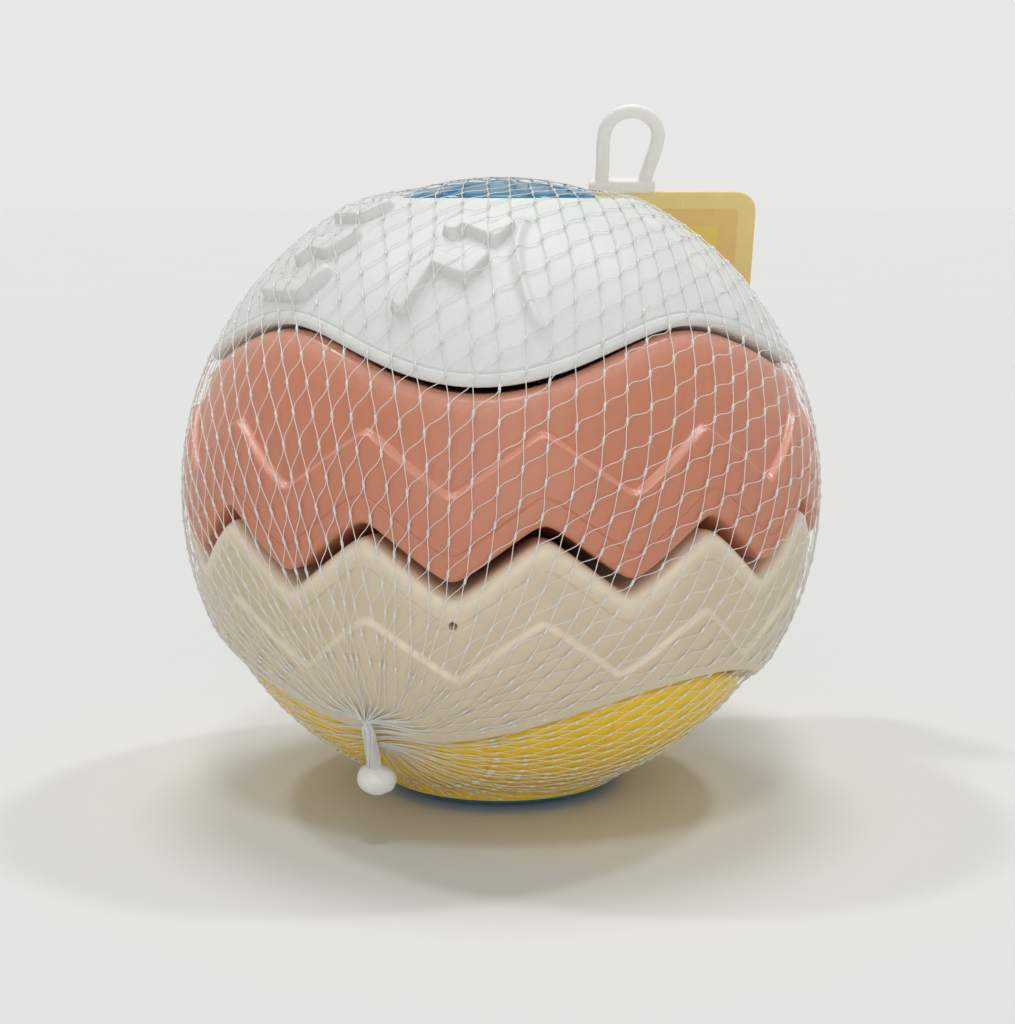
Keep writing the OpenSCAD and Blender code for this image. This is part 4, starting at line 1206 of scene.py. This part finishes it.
class Nodes:
    """Short hand for the nodes and links of one tree."""

    def __init__(self, tree):
        self.tree = tree

    def add(self, kind, **settings):
        """New node with these of its properties set."""
        node = self.tree.nodes.new("ShaderNode" + kind)
        for key, value in settings.items():
            setattr(node, key, value)
        return node

    def join(self, start, end):
        """Link from an output to an input."""
        self.tree.links.new(start, end)

    def maths(self, operation, first, second):
        """Maths node on two sockets or numbers; gives its output."""
        node = self.add("Math", operation=operation)
        for socket, value in zip(node.inputs, (first, second)):
            if isinstance(value, (int, float)):
                socket.default_value = value
            else:
                self.join(value, socket)
        return node.outputs[0]

    def linear(self, socket, slope, start):
        """A start plus a slope times a socket; gives the output."""
        return self.maths("ADD", start, self.maths("MULTIPLY", socket, slope))

    def centred(self, socket):
        """A socket that runs from 0 to 1, moved to run about 0; gives the output."""
        return self.maths("SUBTRACT", socket, 0.5)

    def mixed(self, factor, first, second, blend="MIX"):
        """Mix of two colours, given as sockets or values, by a factor socket or number; gives its output."""
        node = self.add("Mix", data_type="RGBA", blend_type=blend)
        pairs = zip((node.inputs["Factor"], node.inputs[6], node.inputs[7]), (factor, first, second))
        for socket, value in pairs:
            if hasattr(value, "is_linked"):
                self.join(value, socket)
            else:
                socket.default_value = value if isinstance(value, int) else (*value[:3], 1)
        return node.outputs[2]

    def noise(self, where, scale, detail=2.0, rough=0.5):
        """Noise on object coordinates, from 0 to 1; scale counts its waves in a metre."""
        node = self.add("TexNoise")
        for key, value in (("Scale", scale), ("Detail", detail), ("Roughness", rough)):
            node.inputs[key].default_value = value
        self.join(where, node.inputs["Vector"])
        return node.outputs["Fac"]

    def bump(self, height, shader, distance):
        """Bump of a height socket on the shader's normal; distance is what a height of 1 stands for."""
        node = self.add("Bump")
        node.inputs["Strength"].default_value = 1
        node.inputs["Distance"].default_value = distance
        self.join(height, node.inputs["Height"])
        self.join(node.outputs["Normal"], shader.inputs["Normal"])


def new_group(name, inputs, outputs):
    """Empty shader node group with named number and colour sockets, its nodes and its end nodes."""
    group = bpy.data.node_groups.new(name, "ShaderNodeTree")
    for label, kind, value in inputs:
        socket = group.interface.new_socket(label, in_out="INPUT", socket_type=kind)
        socket.default_value = value
    for label, kind in outputs:
        group.interface.new_socket(label, in_out="OUTPUT", socket_type=kind)
    return group, Nodes(group), group.nodes.new("NodeGroupInput"), group.nodes.new("NodeGroupOutput")


def moulded_grain_group():
    """Fine leathery grain, slow unevenness of the skin, dusty mottling and the painted highlights that pieces
    note on their edges, shared by the moulded pieces.
    """
    name, number, tone = "Moulded Grain", "NodeSocketFloat", "NodeSocketColor"
    if name in bpy.data.node_groups:
        return bpy.data.node_groups[name]
    inputs = [("Color", tone, (0.5, 0.5, 0.5, 1)), ("Roughness", number, 0.4), ("Grain", number, 0.1),
              ("Mottle", number, 0.06)]
    outputs = [("Color", tone), ("Roughness", number), ("Height", number)]
    group, nodes, start, end = new_group(name, inputs, outputs)
    given, wanted = start.outputs, end.inputs
    where = nodes.add("TexCoord").outputs["Object"]
    leather = nodes.add("TexVoronoi", feature="SMOOTH_F1")
    leather.inputs["Scale"].default_value = 1300
    nodes.join(where, leather.inputs["Vector"])
    fine, slow = nodes.noise(where, 2600, 3), nodes.noise(where, 60, 2)
    cloud, speck = nodes.noise(where, 140, 4, 0.6), nodes.noise(where, 900, 3, 0.7)
    # Share of painted highlight, with lower roughness, that each point of a piece carries
    worn = nodes.add("Attribute", attribute_name="worn").outputs["Fac"]
    grain = nodes.linear(fine, 0.5, nodes.maths("MULTIPLY", leather.outputs["Distance"], 0.7))
    grain = nodes.maths("MULTIPLY", grain, given["Grain"])
    nodes.join(nodes.linear(slow, 1.1, grain), wanted["Height"])
    mottle_and_highlight = nodes.linear(nodes.centred(speck), 0.6, nodes.centred(cloud))
    # Painted highlight: the noted share makes the colour lighter and less saturated (below) and the roughness
    # lower, standing in for light that edges and ledges catch
    mottle_and_highlight = nodes.linear(worn, 0.13, nodes.maths("MULTIPLY", mottle_and_highlight, given["Mottle"]))
    bright = nodes.add("HueSaturation")
    nodes.join(given["Color"], bright.inputs["Color"])
    nodes.join(nodes.linear(mottle_and_highlight, 2, 1), bright.inputs["Value"])
    nodes.join(nodes.linear(worn, -0.14, 1), bright.inputs["Saturation"])
    nodes.join(bright.outputs["Color"], wanted["Color"])
    rough = nodes.linear(nodes.centred(cloud), 0.16, given["Roughness"])
    nodes.join(nodes.linear(worn, -0.06, rough), wanted["Roughness"])
    return group


def new_material(name):
    """Material with one Principled shader; gives it, its nodes, that shader and the object's coordinates."""
    material = bpy.data.materials.new(name)
    material.use_nodes = True
    nodes = Nodes(material.node_tree)
    shader = material.node_tree.nodes["Principled BSDF"]
    return material, nodes, shader, nodes.add("TexCoord").outputs["Object"]


def moulded_plastic(name, base, roughness, grain, mottle):
    """Satin blow-moulded plastic with a fine grain, mottling, and painted highlights with lower roughness
    where the piece notes them.
    """
    material, nodes, shader, _ = new_material(name)
    group = nodes.add("Group", node_tree=moulded_grain_group())
    values = {"Color": (*base, 1), "Roughness": roughness, "Grain": grain, "Mottle": mottle}
    for key, value in values.items():
        group.inputs[key].default_value = value
    nodes.join(group.outputs["Color"], shader.inputs["Base Color"])
    nodes.join(group.outputs["Roughness"], shader.inputs["Roughness"])
    nodes.bump(group.outputs["Height"], shader, 0.25 * MM)
    return material


def cloudy_plastic(name, base, cloud, tones, rough, grain, depth):
    """Plastic whose tone and roughness drift with a cloudy noise, on a grained skin; gives it and its shader.
    Cloud and grain set the noises, tones are shares of the base, rough is the roughness and its drift."""
    material, nodes, shader, where = new_material(name)
    drift = nodes.noise(where, *cloud)
    dark, light = (tuple(min(tone * c, 1) for c in base) for tone in tones)
    nodes.join(nodes.mixed(drift, dark, light), shader.inputs["Base Color"])
    nodes.join(nodes.linear(drift, rough[1], rough[0]), shader.inputs["Roughness"])
    nodes.bump(nodes.noise(where, *grain), shader, depth)
    return material, shader


def glossy_plastic(name, base):
    """Glossy plastic whose skin is slightly uneven, with darker clouds."""
    material, shader = cloudy_plastic(name, base, cloud=(180, 3), tones=(0.72, 1.25), rough=(0.12, 0.14),
                                      grain=(110, 2), depth=0.5 * MM)
    shader.inputs["Specular IOR Level"].default_value = 0.3
    return material


def net_filament(name, base):
    """Pale glossy filament with slight changes of tone from place to place."""
    material, shader = cloudy_plastic(name, base, cloud=(420, 3), tones=(0.86, 1), rough=(0.15, 0.2),
                                      grain=(2500, 2), depth=0.1 * MM)
    shader.inputs["Alpha"].default_value = 0.8
    return material


def melted_plastic(name, base):
    """Pale plastic with a dull uneven skin, as where it was melted or moulded in one shot."""
    return cloudy_plastic(name, base, cloud=(500, 4, 0.6), tones=(0.9, 1), rough=(0.3, 0.25),
                          grain=(900, 4, 0.6), depth=0.25 * MM)[0]


def printed_card(name, finishes):
    """Coated card: a pale border, a darker line inside it and a yellow middle, by distance from the edge."""
    material, nodes, shader, where = new_material(name)
    rim = nodes.add("Attribute", attribute_name="rim").outputs["Fac"]

    def inside(distance, soft=0.25):
        """Mask that rises from 0 to 1 across a distance from the edge in millimetres."""
        node = nodes.add("MapRange", interpolation_type="SMOOTHSTEP")
        node.inputs["From Min"].default_value = (distance - soft) * MM
        node.inputs["From Max"].default_value = (distance + soft) * MM
        nodes.join(rim, node.inputs["Value"])
        return node.outputs["Result"]

    tone = nodes.mixed(inside(4), finishes.card_border, finishes.card_line)
    tone = nodes.mixed(inside(8.5), tone, finishes.card)
    cloud = nodes.noise(where, 260, 4, 0.6)
    fibre = nodes.mixed(cloud, (0.9, 0.9, 0.9), (1, 1, 1))
    nodes.join(nodes.mixed(1, tone, fibre, "MULTIPLY"), shader.inputs["Base Color"])
    nodes.join(nodes.linear(cloud, 0.2, 0.35), shader.inputs["Roughness"])
    nodes.bump(nodes.noise(where, 1500, 3), shader, 0.08 * MM)
    return material


def floor_finish(name, base):
    """Pale matt floor with a faint unevenness."""
    material, nodes, shader, where = new_material(name)
    cloud = nodes.noise(where, 6, 3)
    nodes.join(nodes.mixed(cloud, tuple(0.97 * c for c in base), base), shader.inputs["Base Color"])
    shader.inputs["Roughness"].default_value = 0.6
    shader.inputs["Specular IOR Level"].default_value = 0.05
    return material


# Stage

# Lamps: name, azimuth from the front, rise over the floor and width in degrees, and the value of its strength
LAMPS = (
    ("left_back_lamp", -120, 62, 5, "back"),
    ("right_back_lamp", 120, 62, 5, "back"),
    ("top_lamp", 180, 76, 20, "top"),
    ("front_lamp", 0, 68, 10, "front"),
    ("fill_lamp", 0, 10, 60, "fill"),
)
FLOOR_REACH = 20
SENSOR_WIDTH = 36


class SetStage(Operator):
    """Pale floor under an even sky, soft lamps and the camera"""
    bl_idname = "sensory_ball.stage"
    bl_label = "Stage"

    def execute(self, context):
        scene = context.scene
        stage, finishes = scene.ball_stage, scene.ball_finishes
        self.add_floor(scene, finishes)
        self.add_sky(scene, stage, finishes)
        for name, azimuth, rise, width, source in LAMPS:
            self.add_lamp(scene, name, *np.radians([azimuth, rise, width]), getattr(stage, source))
        self.add_camera(scene, stage)
        scene.view_settings.view_transform = "Standard"
        return {"FINISHED"}

    def add_floor(self, scene, finishes):
        """Level floor that reaches to the horizon."""
        mesh = bpy.data.meshes.new("floor")
        corners = [(x * FLOOR_REACH, y * FLOOR_REACH, 0) for x, y in ((-1, -1), (1, -1), (1, 1), (-1, 1))]
        mesh.from_pydata(corners, [], [(0, 1, 2, 3)])
        mesh.materials.append(floor_finish("floor", finishes.floor))
        made = bpy.data.objects.new("floor", mesh)
        scene.collection.objects.link(made)

    def add_sky(self, scene, stage, finishes):
        """Even light from all round, in whose place the camera and reflections see the floor's own tone."""
        world = bpy.data.worlds.new("sky")
        world.use_nodes = True
        nodes = Nodes(world.node_tree)
        sky = world.node_tree.nodes["Background"]
        sky.inputs["Color"].default_value = (1, 1, 1, 1)
        sky.inputs["Strength"].default_value = stage.sky
        backdrop = nodes.add("Background")
        backdrop.inputs["Color"].default_value = (*finishes.floor, 1)
        rays = nodes.add("LightPath").outputs
        mirrored = nodes.maths("MAXIMUM", rays["Is Glossy Ray"], rays["Is Transmission Ray"])
        blend = nodes.add("MixShader")
        nodes.join(nodes.maths("MAXIMUM", rays["Is Camera Ray"], mirrored), blend.inputs[0])
        nodes.join(sky.outputs[0], blend.inputs[1])
        nodes.join(backdrop.outputs[0], blend.inputs[2])
        nodes.join(blend.outputs[0], world.node_tree.nodes["World Output"].inputs["Surface"])
        scene.world = world

    def add_lamp(self, scene, name, azimuth, rise, width, energy):
        """Lamp far off, at an azimuth from the front and a rise over the floor, as wide as an angle."""
        light = bpy.data.lights.new(name, "SUN")
        light.energy = energy
        light.angle = width
        lamp = bpy.data.objects.new(name, light)
        lamp.rotation_euler = (math.pi / 2 - rise, 0, azimuth)
        lamp.location = (math.sin(azimuth), -math.cos(azimuth), 1)
        scene.collection.objects.link(lamp)

    def add_camera(self, scene, stage):
        """Camera at the photograph's place and slope."""
        camera = bpy.data.objects.new("camera", bpy.data.cameras.new("camera"))
        camera.data.sensor_fit = "HORIZONTAL"
        camera.data.sensor_width = SENSOR_WIDTH
        camera.data.lens = stage.camera_lens / MM
        camera.data.clip_start = 0.01
        camera.location = (0, -stage.camera_distance, stage.camera_height)
        camera.rotation_euler = (math.pi / 2 - stage.camera_pitch, 0, -stage.camera_yaw)
        scene.collection.objects.link(camera)
        scene.camera = camera


# Panel and registration

BUILDERS = (AddCorePost, AddBaseBowl, AddLowerRing, AddUpperRing, AddTopCap, AddNet, AddNetEnds,
            AddHeaderCard, AddHangLoop, SetStage)
GROUPS = {"ball_sizes": BallSizes, "ball_core": CoreSizes, "ball_relief": ReliefSizes, "ball_net": NetSizes,
          "ball_card": CardSizes, "ball_finishes": Finishes, "ball_stage": StageSizes}


class SensoryBallPanel(Panel):
    """Buttons that build the ball piece by piece"""
    bl_idname = "VIEW3D_PT_sensory_ball"
    bl_label = "Sensory Ball"
    bl_space_type = "VIEW_3D"
    bl_region_type = "UI"
    bl_category = "Sensory Ball"

    def draw(self, context):
        for builder in BUILDERS:
            self.layout.operator(builder.bl_idname)


def register():
    """Registers the classes and puts the groups of values on the scene."""
    for kind in (*GROUPS.values(), *BUILDERS, SensoryBallPanel):
        bpy.utils.register_class(kind)
    for name, kind in GROUPS.items():
        setattr(bpy.types.Scene, name, PointerProperty(type=kind))


def unregister():
    """Takes the groups off the scene and unregisters the classes."""
    for name in GROUPS:
        delattr(bpy.types.Scene, name)
    for kind in (SensoryBallPanel, *reversed(BUILDERS), *reversed(GROUPS.values())):
        bpy.utils.unregister_class(kind)


def main():
    """Builds every piece and the stage."""
    register()
    for builder in BUILDERS:
        group, name = builder.bl_idname.split(".")
        getattr(getattr(bpy.ops, group), name)()


if __name__ == "__main__":
    main()
